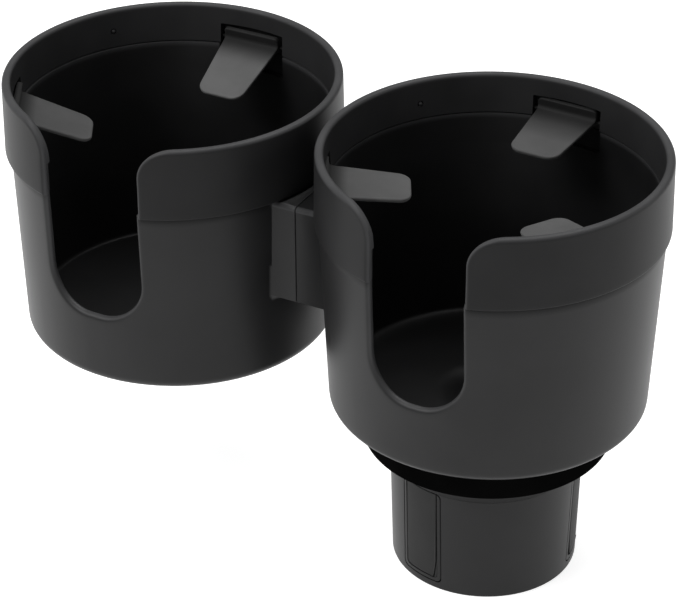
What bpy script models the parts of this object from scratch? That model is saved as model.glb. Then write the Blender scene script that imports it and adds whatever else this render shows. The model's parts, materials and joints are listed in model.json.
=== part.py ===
"""Two-cup expander for a vehicle's cup holder, in metres, +Z up.

The base drops into the vehicle's own cup holder.  Turning the main cup turns a scroll
plate inside the base, and its three grooves push three feet out through windows until
they grip the hole.  The side cup hangs on the main cup by a dovetail and lifts off
upwards.  Each cup has a collar with three sprung grip tabs, and a notch for a handle.

The origin is the middle of the base's underside, on the main cup's axis.  The side cup
stands at -X, and both notches face -Y.
"""

import math

import bmesh
import bpy
from mathutils import Matrix, Vector

MM = 0.001

# Fits and facets
GAP = 0.3 * MM                  # between pieces that touch
TURN_SEGMENTS = 48              # facets round the cups, collars and base
SMALL_SEGMENTS = 20             # facets round bosses, pins and screws
CORNER_STEPS = 3                # facets in a small rounded corner
OVERCUT = 5 * MM                # how far a cutter runs past what it cuts
WELD = 0.001 * MM               # corners closer than this become one
SHARP_ANGLE = math.radians(32)

# Collars
COLLAR_TOP_R = 56.5 * MM
COLLAR_DRAFT = 0.4 * MM         # how much wider a collar is at its foot
COLLAR_WALL = 3.0 * MM
BAND_HEIGHT = 13.7 * MM         # from the rim down to the shelf that sits on the shell
BAND_DRAFT = 0.7 * MM           # how much narrower the band is at the shelf
SKIRT_WALL = 2.2 * MM           # the lower part, which covers the shell's top
SKIRT_HEIGHT = 10.8 * MM
RIM_ROUND = 1.3 * MM
COLLAR_FOOT_ROUND = 0.6 * MM

# Cup shells
CUP_HEIGHT = 91.7 * MM          # from the main cup's underside to the rims
CUP_CLEARANCE = 4.0 * MM        # between the two collars
SHELL_WALL = 2.6 * MM
MAIN_SHOULDER = 1.1 * MM        # body below the collar, past the neck inside the collar
MAIN_TAPER = 3.0 * MM           # loss of radius down to the bottom rounding
MAIN_ROUND_R = 8.1 * MM
MAIN_ROUND_Z = 4.4 * MM
SIDE_SHOULDER = 0.6 * MM
SIDE_TAPER = 1.8 * MM
SIDE_RISE = 0.6 * MM            # side cup's underside above the main cup's
SIDE_ROUND = 4.0 * MM

# Handle notches
NOTCH_WIDTH = 34.0 * MM
NOTCH_DEPTH = 65.5 * MM         # below the rim
NOTCH_FLAT = 5.0 * MM           # straight stretch between its bottom corners
COLLAR_CORNER = 10.5 * MM

# Grip tabs
TAB_ANGLES = (90.0, 210.0, 330.0)
MAIN_TAB_TURN = -2.0            # degrees that the main cup's tabs stand round from these
TAB_LENGTH = 27.3 * MM
TAB_ROOT_WIDTH = 21.4 * MM
TAB_NARROWING = 1.9 * MM        # each side, from root to tip
TAB_TIP_CORNER = 4.5 * MM
TAB_THICK = 2.2 * MM
TAB_ROOT_THICK = 1.8 * MM
TAB_FULL_AT = 5.0 * MM          # from the root axis to the full thickness
TAB_PIN_R = 0.6 * MM
TAB_PIN_BITE = 1.2 * MM         # pin inside the slot's side wall
TAB_SLOT_MARGIN = 1.6 * MM      # slot past the root, on each side
TAB_AXIS_RISE = 2.1 * MM        # root axis, above the shelf
TAB_SLOT_HEADROOM = 4.2 * MM    # open slot above the root
TAB_BAY_DEPTH = 8.0 * MM        # relief in the shell under a tab, for its downward swing
MAIN_TAB_SLOPE = 5.5            # degrees below level, at rest
SIDE_TAB_SLOPE = 22.0

# Link between the cups
LINK_WIDTH = 45.0 * MM
LINK_HEIGHT = 35.3 * MM
LINK_DROP = 0.7 * MM            # from the collar's foot down to the blocks' top
LINK_SEAM_SHIFT = 0.5 * MM      # seam, from half way between the cups
LINK_EDGE_ROUND = 1.6 * MM
LINK_SKIN = 2.0 * MM            # wall of the cored blocks
LINK_CAP = 4.0 * MM             # left whole above the dovetail
DOVETAIL_NECK = 14.0 * MM
DOVETAIL_FLARE = 2.0 * MM       # each side, from neck to head

# Base housing
BASE_HEIGHT = 47.0 * MM
BASE_TOP_R = 32.3 * MM
BASE_TAPER = 1.2 * MM           # loss of radius from top to foot
BASE_WALL = 2.4 * MM
BASE_FLOOR = 2.2 * MM
BASE_EDGE = 0.5 * MM
CROWN_HEIGHT = 7.6 * MM         # thicker top of the base, from the flange down
CROWN_STEP = 0.3 * MM

# Feet and their windows
FEET = 3
FOOT_PHASE = -107.0             # direction of the first foot, degrees
FOOT_TRAVEL = 6.5 * MM
WINDOW_WIDTH = 16.8 * MM
WINDOW_SILL = 0.4 * MM          # above the floor
WINDOW_LINTEL = 0.4 * MM        # below the crown
WINDOW_CORNER = 1.8 * MM
FOOT_CLEARANCE = 0.5 * MM       # from the scroll plate to the back of a foot
FOOT_SKIN = 1.6 * MM
PAD_MARGIN = 1.9 * MM           # from the window's edge to the pad, sides and bottom
PAD_THICK = 1.6 * MM            # at the middle of the pad
PAD_CORNER = 1.5 * MM
ARM_THICK = 5.0 * MM
ARM_PIN_R = 1.8 * MM
ARM_NOSE = 1.2 * MM             # arm left past the pin
GUIDE_THICK = 1.8 * MM
GUIDE_HEIGHT = 10.0 * MM

# Scroll plate that drives the feet
TURN_RANGE = 90.0               # degrees of the main cup's turn
SCROLL_WALL = 2.4 * MM          # plate left outside the grooves
SCROLL_WEB = 1.2 * MM           # plate left above them
SCROLL_THICK = 4.6 * MM
SHOULDER_HEIGHT = 5.5 * MM
DRIVE_WIDTH = 11.0 * MM
DRIVE_HEIGHT = 5.4 * MM
HUB_LIP = 1.3 * MM              # hub left past the drive's corners
HUB_STEP = 2.9 * MM             # shoulder past the hub, and the cup's boss as well

# Flange that closes the base
FLANGE_R = 41.4 * MM
FLANGE_HEIGHT = 12.5 * MM
FLANGE_RIM = 4.0 * MM
FLANGE_DECK = 2.5 * MM
FLANGE_SPIGOT = 3.0 * MM
FLANGE_SPIGOT_WALL = 1.8 * MM
FLANGE_EDGE = 0.6 * MM

# Screws
BOSS_R = 2.7 * MM
BOSS_WEB = 1.6 * MM
FLANGE_SCREW_R = 1.1 * MM
FLANGE_SCREW_HEAD_R = 2.5 * MM
FLANGE_SCREW_HEAD = 1.6 * MM
FLANGE_SCREW_DEPTH = 9.0 * MM   # thread below the deck
HUB_WEB = 2.6 * MM
HUB_SCREW_R = 2.0 * MM
HUB_SCREW_HEAD_R = 4.5 * MM
HUB_SCREW_HEAD = 1.7 * MM
HUB_SCREW_DEPTH = 10.0 * MM     # thread inside the scroll plate's hub
WASHER_MARGIN = 2.5 * MM        # washer past the screw's head
WASHER_THICK = 1.0 * MM

# Collars and shells that follow, from the base upwards
DECK_TOP_Z = BASE_HEIGHT + FLANGE_DECK
FLANGE_TOP_Z = BASE_HEIGHT + FLANGE_HEIGHT
MAIN_FLOOR_Z = FLANGE_TOP_Z + GAP
SIDE_FLOOR_Z = MAIN_FLOOR_Z + SIDE_RISE
RIM_Z = MAIN_FLOOR_Z + CUP_HEIGHT
SHELF_Z = RIM_Z - BAND_HEIGHT
COLLAR_FOOT_Z = SHELF_Z - SKIRT_HEIGHT
SHELL_TOP_Z = SHELF_Z - GAP
SHOULDER_Z = COLLAR_FOOT_Z - GAP
NOTCH_BOTTOM_Z = RIM_Z - NOTCH_DEPTH
NOTCH_CORNER = (NOTCH_WIDTH - NOTCH_FLAT) / 2
COLLAR_FOOT_R = COLLAR_TOP_R + COLLAR_DRAFT
BAND_R = COLLAR_TOP_R - COLLAR_WALL
SKIRT_R = COLLAR_FOOT_R - SKIRT_WALL
SHELL_TOP_R = SKIRT_R - GAP
MAIN_TOP_R = SHELL_TOP_R + MAIN_SHOULDER
SIDE_TOP_R = SHELL_TOP_R + SIDE_SHOULDER
CUP_SPACING = 2 * COLLAR_FOOT_R + CUP_CLEARANCE
TAB_TIP_WIDTH = TAB_ROOT_WIDTH - 2 * TAB_NARROWING
TAB_AXIS_R = BAND_R - GAP
TAB_AXIS_Z = SHELF_Z + TAB_AXIS_RISE
TAB_ROOT_R = TAB_ROOT_THICK / 2
TAB_SLOT_HALF = TAB_ROOT_WIDTH / 2 + TAB_SLOT_MARGIN

# Link that follows: the dovetail's socket ends at the side cup's wall
LINK_TOP_Z = COLLAR_FOOT_Z - LINK_DROP
LINK_FOOT_Z = LINK_TOP_Z - LINK_HEIGHT
LINK_SEAM_X = -CUP_SPACING / 2 - LINK_SEAM_SHIFT
DOVETAIL_TOP_Z = LINK_TOP_Z - LINK_CAP
DOVETAIL_DEPTH = CUP_SPACING + LINK_SEAM_X - SIDE_TOP_R - 1.5 * GAP

# Base and drive that follow, from the housing's wall inwards
BASE_FOOT_R = BASE_TOP_R - BASE_TAPER
SPIGOT_Z = BASE_HEIGHT - FLANGE_SPIGOT
SPIGOT_R = BASE_TOP_R - BASE_WALL - 2 * GAP
BOSS_CENTRE_R = SPIGOT_R - FLANGE_SPIGOT_WALL - GAP - BOSS_R
GROOVE_R = ARM_PIN_R + GAP
SCROLL_R = BOSS_CENTRE_R - BOSS_R - GAP
SCROLL_START_R = SCROLL_R - SCROLL_WALL - GROOVE_R - FOOT_TRAVEL
SCROLL_PITCH = FOOT_TRAVEL / math.radians(TURN_RANGE)
SCROLL_TOP_Z = BASE_HEIGHT - SHOULDER_HEIGHT
SCROLL_FOOT_Z = SCROLL_TOP_Z - SCROLL_THICK
SCROLL_HUB_R = DRIVE_WIDTH / 2 * math.sqrt(2) + HUB_LIP
SCROLL_SHOULDER_R = SCROLL_HUB_R + HUB_STEP
DECK_HOLE_R = SCROLL_HUB_R + GAP
FOOT_INNER_R = SCROLL_R + FOOT_CLEARANCE
WINDOW_SILL_Z = BASE_FLOOR + WINDOW_SILL
CROWN_Z = BASE_HEIGHT - CROWN_HEIGHT
WINDOW_HEAD_Z = CROWN_Z - WINDOW_LINTEL
ARM_TOP_Z = SCROLL_FOOT_Z - GAP
ARM_PIN_HEIGHT = SCROLL_THICK - SCROLL_WEB
HUB_BOSS_R = SCROLL_HUB_R + HUB_STEP
HUB_FOOT_Z = DECK_TOP_Z + GAP
DRIVE_TOP_Z = DECK_TOP_Z + DRIVE_HEIGHT
WEB_FOOT_Z = DRIVE_TOP_Z + GAP
WEB_TOP_Z = WEB_FOOT_Z + HUB_WEB
WASHER_R = HUB_SCREW_HEAD_R + WASHER_MARGIN
HUB_WELL_R = WASHER_R + 2 * GAP
WASHER_Z = WEB_TOP_Z + GAP
SCREW_HEAD_Z = WASHER_Z + WASHER_THICK + GAP
FOOT_ANGLES = [FOOT_PHASE + i * 360.0 / FEET for i in range(FEET)]
BOSS_ANGLES = [angle + 180.0 / FEET for angle in FOOT_ANGLES]

# Frames whose third axis is the direction that a flat outline is pushed along
UPRIGHT = Matrix.Identity(4)
ALONG_X = Matrix(((0, 0, 1, 0), (1, 0, 0, 0), (0, 1, 0, 0), (0, 0, 0, 1)))
ALONG_Y = Matrix(((1, 0, 0, 0), (0, 0, 1, 0), (0, 1, 0, 0), (0, 0, 0, 1)))


def arc(centre, radii, start, end, steps):
    """Points of an elliptical arc, both ends included, with its angles in degrees."""
    points = []
    for i in range(steps + 1):
        angle = math.radians(start + (end - start) * i / steps)
        points.append((centre[0] + radii[0] * math.cos(angle),
                       centre[1] + radii[1] * math.sin(angle)))
    return points


def rounded_box(low, high, radius):
    """Outline of a rectangle with rounded corners, from its two opposite corners."""
    (u0, v0), (u1, v1) = low, high
    both = (radius, radius)
    return (arc((u1 - radius, v0 + radius), both, -90, 0, CORNER_STEPS)
            + arc((u1 - radius, v1 - radius), both, 0, 90, CORNER_STEPS)
            + arc((u0 + radius, v1 - radius), both, 90, 180, CORNER_STEPS)
            + arc((u0 + radius, v0 + radius), both, 180, 270, CORNER_STEPS))


def box(low, high):
    """Outline of a plain rectangle."""
    return [low, (high[0], low[1]), high, (low[0], high[1])]


def circle(centre, radius, steps=SMALL_SEGMENTS):
    """Outline of a circle."""
    return arc(centre, (radius, radius), 0, 360 * (steps - 1) / steps, steps - 1)


def welded(mesh, bm):
    """Join corners that coincide and write the edit mesh back with its faces out."""
    bmesh.ops.remove_doubles(bm, verts=bm.verts, dist=WELD)
    bmesh.ops.dissolve_degenerate(bm, edges=bm.edges, dist=WELD)
    bmesh.ops.recalc_face_normals(bm, faces=bm.faces)
    bm.to_mesh(mesh)
    bm.free()
    return mesh


def new_object(name, bm):
    """Turn an edit mesh into an object of the scene."""
    obj = bpy.data.objects.new(name, welded(bpy.data.meshes.new(name), bm))
    bpy.context.scene.collection.objects.link(obj)
    return obj


def turned(name, profile, segments=TURN_SEGMENTS):
    """Spin an (r, z) profile about Z; it is closed unless both its ends are on the axis."""
    bm = bmesh.new()
    verts = [bm.verts.new((r, 0.0, z)) for r, z in profile]
    edges = [bm.edges.new(pair) for pair in zip(verts, verts[1:])]
    if profile[0][0] > 0.0:
        edges.append(bm.edges.new((verts[-1], verts[0])))
    bmesh.ops.spin(bm, geom=verts + edges, cent=(0, 0, 0), axis=(0, 0, 1),
                   angle=math.tau, steps=segments, use_merge=True)
    return new_object(name, bm)


def pushed(name, outline, start, end, frame=UPRIGHT):
    """Extrude a flat outline between two depths along the frame's third axis."""
    bm = bmesh.new()
    face = bm.faces.new([bm.verts.new((u, v, start)) for u, v in outline])
    grown = bmesh.ops.extrude_face_region(bm, geom=[face])
    moved = [item for item in grown["geom"] if isinstance(item, bmesh.types.BMVert)]
    bmesh.ops.translate(bm, verts=moved, vec=(0.0, 0.0, end - start))
    bm.transform(frame)
    return new_object(name, bm)


def moved_to(obj, offset=(0.0, 0.0, 0.0), angle=0.0):
    """Turn an object's mesh about Z by an angle in degrees, then shift it."""
    obj.data.transform(Matrix.Translation(Vector(offset))
                       @ Matrix.Rotation(math.radians(angle), 4, "Z"))
    return obj


def combine(target, operation, *tools):
    """Apply exact booleans to the target, one tool after another, and use the tools up."""
    for tool in tools:
        step = target.modifiers.new("Combine", "BOOLEAN")
        step.operation = operation
        step.solver = "EXACT"
        step.object = tool
        bpy.context.view_layer.update()
        depsgraph = bpy.context.evaluated_depsgraph_get()
        result = bpy.data.meshes.new_from_object(target.evaluated_get(depsgraph))
        target.modifiers.clear()
        spent = target.data
        bm = bmesh.new()
        bm.from_mesh(result)
        target.data = welded(result, bm)
        bpy.data.meshes.remove(spent)
        bpy.data.objects.remove(tool, do_unlink=True)
    return target


def finished(obj, colour, roughness, metallic=0.0):
    """Smooth the round faces and give the piece its own material."""
    obj.data.shade_smooth()
    obj.data.set_sharp_from_angle(angle=SHARP_ANGLE)
    material = bpy.data.materials.new(obj.name)
    material.use_nodes = True
    shader = material.node_tree.nodes["Principled BSDF"]
    shader.inputs["Base Color"].default_value = (*colour, 1.0)
    shader.inputs["Roughness"].default_value = roughness
    shader.inputs["Metallic"].default_value = metallic
    obj.data.materials.clear()
    obj.data.materials.append(material)
    return obj


BODY_BLACK = (0.045, 0.045, 0.047)
COLLAR_BLACK = (0.028, 0.028, 0.030)
TAB_GREY = (0.075, 0.075, 0.078)
FLANGE_BLACK = (0.010, 0.010, 0.011)
INNER_GREY = (0.20, 0.20, 0.21)
STEEL = (0.55, 0.55, 0.56)


# Cup shells

def cup_side(sizes, inset):
    """Profile of a cup's side from its floor's edge to its shoulder, inset by a wall."""
    top_r, taper, floor_z, round_r, round_z = sizes
    centre = (top_r - taper - round_r, floor_z + round_z)
    turn = arc(centre, (round_r - inset, round_z - inset), -90, 0, 2 * CORNER_STEPS)
    return turn + [(top_r - inset, SHOULDER_Z)]


def cup_body(name, sizes):
    """The cup's outer form, with the neck that the collar's skirt goes over."""
    neck = [(SHELL_TOP_R, SHOULDER_Z), (SHELL_TOP_R, SHELL_TOP_Z), (0.0, SHELL_TOP_Z)]
    return turned(name, [(0.0, sizes[2])] + cup_side(sizes, 0.0) + neck)


def cup_space(name, sizes, inset, top_z):
    """The form inside the cup's wall, or round the cup where the inset is negative."""
    side = cup_side(sizes, inset)
    return turned(name, [(0.0, sizes[2] + inset)] + side
                  + [(side[-1][0], top_z), (0.0, top_z)])


def notch_outline(foot_z, corner, flared):
    """Outline of the handle notch in X and Z, with the collar's rounded top corners."""
    half = NOTCH_WIDTH / 2
    top = RIM_Z + OVERCUT
    both = (corner, corner)
    flare = (COLLAR_CORNER, COLLAR_CORNER)
    base = (arc((-half + corner, foot_z + corner), both, 180, 270, 2 * CORNER_STEPS)
            + arc((half - corner, foot_z + corner), both, 270, 360, 2 * CORNER_STEPS))
    if not flared:
        return base + [(half, top), (-half, top)]
    wide = half + COLLAR_CORNER
    shoulder = RIM_Z - COLLAR_CORNER
    right = arc((wide, shoulder), flare, 180, 90, 2 * CORNER_STEPS)
    left = arc((-wide, shoulder), flare, 90, 0, 2 * CORNER_STEPS)
    return base + right + [(wide, top), (-wide, top)] + left


def notch_cutter(foot_z, corner, flared):
    """Cutter for one handle notch, through the wall on the -Y side only."""
    outline = notch_outline(foot_z, corner, flared)
    return pushed("notch", outline, -COLLAR_FOOT_R - OVERCUT, -COLLAR_FOOT_R / 2, ALONG_Y)


def tab_bay_cutters(tab_turn):
    """Cutters for the reliefs in a shell's top edge that let the tabs swing down."""
    outline = rounded_box((-TAB_SLOT_HALF - GAP, SHELL_TOP_Z - TAB_BAY_DEPTH),
                          (TAB_SLOT_HALF + GAP, SHELL_TOP_Z + OVERCUT), RIM_ROUND)
    return [moved_to(pushed("bay", outline, COLLAR_FOOT_R / 2, COLLAR_FOOT_R + OVERCUT,
                            ALONG_X), angle=angle + tab_turn) for angle in TAB_ANGLES]


def link_outline():
    """End view of a link block in Y and Z, with its top edges rounded."""
    half = LINK_WIDTH / 2
    both = (LINK_EDGE_ROUND, LINK_EDGE_ROUND)
    top = LINK_TOP_Z - LINK_EDGE_ROUND
    return ([(-half, LINK_FOOT_Z), (half, LINK_FOOT_Z)]
            + arc((half - LINK_EDGE_ROUND, top), both, 0, 90, CORNER_STEPS)
            + arc((-half + LINK_EDGE_ROUND, top), both, 90, 180, CORNER_STEPS))


def dovetail_outline(clearance):
    """Plan of the dovetail in X and Y, grown all round by a clearance."""
    mouth_x = LINK_SEAM_X + GAP / 2
    tip_x = mouth_x - DOVETAIL_DEPTH - clearance
    slope = DOVETAIL_FLARE / DOVETAIL_DEPTH
    neck = DOVETAIL_NECK / 2 + clearance * math.hypot(1.0, slope)
    head = neck + slope * (mouth_x - tip_x)
    root_x = mouth_x + LINK_SKIN / 2
    return [(root_x, -neck), (root_x, neck), (mouth_x, neck), (tip_x, head), (tip_x, -head),
            (mouth_x, -neck)]


def core_cutters(face_x, towards, cup_x, sizes):
    """Two pockets that core a link block from below, clear of the cup's wall."""
    cutters = []
    deep_x = face_x - towards * LINK_SKIN
    far_x = cup_x + towards * SHELL_TOP_R / 2
    start = DOVETAIL_NECK / 2 + DOVETAIL_FLARE + LINK_SKIN + GAP
    end = LINK_WIDTH / 2 - LINK_SKIN
    for side in (-1, 1):
        ys = sorted((side * start, side * end))
        xs = sorted((deep_x, far_x))
        pocket = pushed("core", box((xs[0], ys[0]), (xs[1], ys[1])),
                        LINK_FOOT_Z - OVERCUT, LINK_TOP_Z - LINK_SKIN)
        keep = moved_to(cup_space("keep", sizes, -GAP, RIM_Z), (cup_x, 0.0, 0.0))
        cutters.append(combine(pocket, "DIFFERENCE", keep))
    return cutters


MAIN_SIZES = (MAIN_TOP_R, MAIN_TAPER, MAIN_FLOOR_Z, MAIN_ROUND_R, MAIN_ROUND_Z)
SIDE_SIZES = (SIDE_TOP_R, SIDE_TAPER, SIDE_FLOOR_Z, SIDE_ROUND, SIDE_ROUND)


def main_shell():
    """Main cup: turned shell, hub boss below its floor, and the dovetail block."""
    shell = cup_body("main_shell", MAIN_SIZES)
    seam_x = LINK_SEAM_X + GAP / 2
    block = pushed("block", link_outline(), seam_x, -SHELL_TOP_R / 2, ALONG_X)
    rail = pushed("rail", dovetail_outline(0.0), LINK_FOOT_Z, DOVETAIL_TOP_Z)
    boss = pushed("boss", circle((0, 0), HUB_BOSS_R, 2 * SMALL_SEGMENTS), HUB_FOOT_Z,
                  MAIN_FLOOR_Z + SHELL_WALL / 2)
    combine(shell, "UNION", block, rail, boss)
    combine(shell, "DIFFERENCE", *core_cutters(seam_x, -1, 0.0, MAIN_SIZES))
    inside = cup_space("inside", MAIN_SIZES, SHELL_WALL, SHELL_TOP_Z + OVERCUT)
    half = DRIVE_WIDTH / 2 + GAP
    socket = pushed("socket", box((-half, -half), (half, half)), HUB_FOOT_Z - OVERCUT,
                    WEB_FOOT_Z)
    well = pushed("well", circle((0, 0), HUB_WELL_R, 2 * SMALL_SEGMENTS), WEB_TOP_Z,
                  MAIN_FLOOR_Z + SHELL_WALL + OVERCUT)
    bore = pushed("bore", circle((0, 0), HUB_SCREW_R + GAP), HUB_FOOT_Z, RIM_Z)
    notch = notch_cutter(NOTCH_BOTTOM_Z, NOTCH_CORNER, False)
    bays = tab_bay_cutters(MAIN_TAB_TURN)
    combine(shell, "DIFFERENCE", inside, socket, well, bore, notch, *bays)
    return finished(shell, BODY_BLACK, 0.42)


def side_shell():
    """Side cup: turned shell and the socket block that hangs on the dovetail."""
    shell = moved_to(cup_body("side_shell", SIDE_SIZES), (-CUP_SPACING, 0.0, 0.0))
    seam_x = LINK_SEAM_X - GAP / 2
    block = pushed("block", link_outline(), -CUP_SPACING + SHELL_TOP_R / 2, seam_x, ALONG_X)
    combine(shell, "UNION", block)
    combine(shell, "DIFFERENCE", *core_cutters(seam_x, 1, -CUP_SPACING, SIDE_SIZES))
    inside = moved_to(cup_space("inside", SIDE_SIZES, SHELL_WALL, SHELL_TOP_Z + OVERCUT),
                      (-CUP_SPACING, 0.0, 0.0))
    socket = pushed("socket", dovetail_outline(GAP), LINK_FOOT_Z - OVERCUT,
                    DOVETAIL_TOP_Z + GAP)
    notch = notch_cutter(NOTCH_BOTTOM_Z, NOTCH_CORNER, False)
    cutters = [notch] + tab_bay_cutters(0.0)
    for cutter in cutters:
        moved_to(cutter, (-CUP_SPACING, 0.0, 0.0))
    combine(shell, "DIFFERENCE", inside, socket, *cutters)
    return finished(shell, BODY_BLACK, 0.42)


# Collars and grip tabs

def collar(name, cup_x, tab_turn):
    """Push-on ring: rounded rim, inner band, and a skirt that covers the shell's top."""
    rim = (RIM_ROUND, RIM_ROUND)
    rim_z = RIM_Z - RIM_ROUND
    profile = ([(SKIRT_R, COLLAR_FOOT_Z), (COLLAR_FOOT_R - COLLAR_FOOT_ROUND, COLLAR_FOOT_Z),
                (COLLAR_FOOT_R, COLLAR_FOOT_Z + COLLAR_FOOT_ROUND)]
               + arc((COLLAR_TOP_R - RIM_ROUND, rim_z), rim, 0, 90, CORNER_STEPS)
               + arc((BAND_R + RIM_ROUND, rim_z), rim, 90, 180, CORNER_STEPS)
               + [(BAND_R - BAND_DRAFT, SHELF_Z), (SKIRT_R, SHELF_Z)])
    ring = turned(name, profile)
    cutters = [notch_cutter(COLLAR_FOOT_Z - SKIRT_HEIGHT, GAP, True)]
    half = TAB_SLOT_HALF
    slot_r = TAB_AXIS_R + TAB_ROOT_R + GAP
    slot_top = TAB_AXIS_Z + TAB_ROOT_R + TAB_SLOT_HEADROOM
    slot_foot = SHELF_Z - TAB_ROOT_THICK / 2
    reach = half + TAB_PIN_BITE + GAP
    for angle in [angle + tab_turn for angle in TAB_ANGLES]:
        slot = pushed("slot", box((-half, slot_foot), (half, slot_top)),
                      BAND_R - TAB_LENGTH, slot_r, ALONG_X)
        pins = pushed("pins", circle((TAB_AXIS_R, TAB_AXIS_Z), TAB_PIN_R + GAP), -reach,
                      reach, ALONG_Y)
        cutters += [moved_to(slot, angle=angle), moved_to(pins, angle=angle)]
    combine(ring, "DIFFERENCE", *cutters)
    moved_to(ring, (cup_x, 0.0, 0.0))
    return finished(ring, COLLAR_BLACK, 0.38)


def tab_mesh():
    """One grip tab, flat, with its root axis on Y and its tip towards +X."""
    half_thick = TAB_THICK / 2
    tip = TAB_LENGTH - half_thick
    side_view = ([(TAB_FULL_AT, -half_thick)]
                 + arc((tip, 0.0), (half_thick, half_thick), -90, 90, 2 * CORNER_STEPS)
                 + [(TAB_FULL_AT, half_thick)]
                 + arc((0.0, 0.0), (TAB_ROOT_R, TAB_ROOT_R), 90, 270, 2 * CORNER_STEPS))
    root = TAB_ROOT_WIDTH / 2
    end = TAB_TIP_WIDTH / 2
    corner = (TAB_TIP_CORNER, TAB_TIP_CORNER)
    corner_x = TAB_LENGTH - TAB_TIP_CORNER
    plan = ([(-OVERCUT, root), (-OVERCUT, -root), (0.0, -root)]
            + arc((corner_x, -end + TAB_TIP_CORNER), corner, -90, 0, CORNER_STEPS)
            + arc((corner_x, end - TAB_TIP_CORNER), corner, 0, 90, CORNER_STEPS)
            + [(0.0, root)])
    tab = pushed("tab", side_view, -TAB_ROOT_WIDTH, TAB_ROOT_WIDTH, ALONG_Y)
    combine(tab, "INTERSECT", pushed("plan", plan, -TAB_THICK, TAB_THICK))
    reach = TAB_SLOT_HALF + TAB_PIN_BITE
    combine(tab, "UNION", pushed("pin", circle((0.0, 0.0), TAB_PIN_R, SMALL_SEGMENTS // 2),
                                 -reach, reach, ALONG_Y))
    mesh = tab.data
    bpy.data.objects.remove(tab, do_unlink=True)
    return mesh


def grip_tabs(cup, cup_x, tab_turn, slope, mesh):
    """Three tabs round one cup, each with its origin on its root axis."""
    for number, angle in enumerate(TAB_ANGLES, start=1):
        tab = bpy.data.objects.new(f"{cup}_tab_{number}", mesh.copy())
        bpy.context.scene.collection.objects.link(tab)
        around = math.radians(angle + tab_turn)
        tab.location = (cup_x + TAB_AXIS_R * math.cos(around),
                        TAB_AXIS_R * math.sin(around), TAB_AXIS_Z)
        tab.rotation_euler = (0.0, math.radians(slope), around + math.pi)
        finished(tab, TAB_GREY, 0.62)


# Base, feet and scroll plate

def base_radius(z):
    """Outer radius of the tapered base at a height."""
    return BASE_FOOT_R + (BASE_TOP_R - BASE_FOOT_R) * z / BASE_HEIGHT


def base_solid(name, inset, low_z, high_z):
    """The base's tapered form between two heights, inset by a wall."""
    return turned(name, [(0.0, low_z), (base_radius(low_z) - inset, low_z),
                         (base_radius(high_z) - inset, high_z), (0.0, high_z)])


def window_prism(name, shrink, start, end):
    """Rounded block that fills a foot's window along +X, smaller all round by a shrink."""
    half = WINDOW_WIDTH / 2 - shrink
    outline = rounded_box((-half, WINDOW_SILL_Z + shrink), (half, WINDOW_HEAD_Z - shrink),
                          WINDOW_CORNER)
    return pushed(name, outline, start, end, ALONG_X)


def pad_prism(name, start, grow, top_z):
    """Block of a pad's outline along +X, square at its top and grown by a clearance."""
    half = WINDOW_WIDTH / 2 - PAD_MARGIN + grow
    foot_z = WINDOW_SILL_Z + PAD_MARGIN - grow
    both = (PAD_CORNER, PAD_CORNER)
    outline = (arc((-half + PAD_CORNER, foot_z + PAD_CORNER), both, 180, 270, CORNER_STEPS)
               + arc((half - PAD_CORNER, foot_z + PAD_CORNER), both, 270, 360, CORNER_STEPS)
               + [(half, top_z), (-half, top_z)])
    return pushed(name, outline, start, BASE_TOP_R + OVERCUT, ALONG_X)


def base_housing():
    """Tapered cup with a crown, three windows, guide ribs on its floor and bosses."""
    top = BASE_HEIGHT - GAP
    crown = [(base_radius(z) + step, z)
             for z, step in ((CROWN_Z, 0.0), (CROWN_Z, CROWN_STEP), (top, CROWN_STEP))]
    outer = [(0.0, 0.0), (BASE_FOOT_R - BASE_EDGE, 0.0),
             (base_radius(BASE_EDGE), BASE_EDGE)] + crown + [(0.0, top)]
    housing = turned("base_housing", outer)
    combine(housing, "DIFFERENCE", base_solid("space", BASE_WALL, BASE_FLOOR, BASE_HEIGHT))
    half_arm = ARM_THICK / 2
    guide_start = SCROLL_START_R
    guide_end = FOOT_INNER_R - GAP
    for angle in FOOT_ANGLES:
        window = window_prism("window", 0.0, FOOT_INNER_R, BASE_TOP_R + OVERCUT)
        combine(housing, "DIFFERENCE", moved_to(window, angle=angle))
        for side in (-1, 1):
            ys = sorted((side * (half_arm + GAP), side * (half_arm + GAP + GUIDE_THICK)))
            rib = pushed("rib", box((guide_start, ys[0]), (guide_end, ys[1])),
                         BASE_FLOOR / 2, BASE_FLOOR + GUIDE_HEIGHT)
            combine(housing, "UNION", moved_to(rib, angle=angle))
    for angle in BOSS_ANGLES:
        web = pushed("web", box((BOSS_CENTRE_R, -BOSS_WEB / 2),
                                (BASE_FOOT_R - BASE_WALL / 2, BOSS_WEB / 2)),
                     BASE_FLOOR / 2, SPIGOT_Z - GAP)
        boss = pushed("boss", circle((BOSS_CENTRE_R, 0.0), BOSS_R), BASE_FLOOR / 2, top)
        bore = pushed("bore", circle((BOSS_CENTRE_R, 0.0), FLANGE_SCREW_R + GAP),
                      BASE_HEIGHT - FLANGE_SCREW_DEPTH - 2 * GAP, BASE_HEIGHT + OVERCUT)
        for tool in (web, boss, bore):
            moved_to(tool, angle=angle)
        combine(housing, "UNION", web, boss)
        combine(housing, "DIFFERENCE", bore)
    return finished(housing, BODY_BLACK, 0.42)


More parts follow.
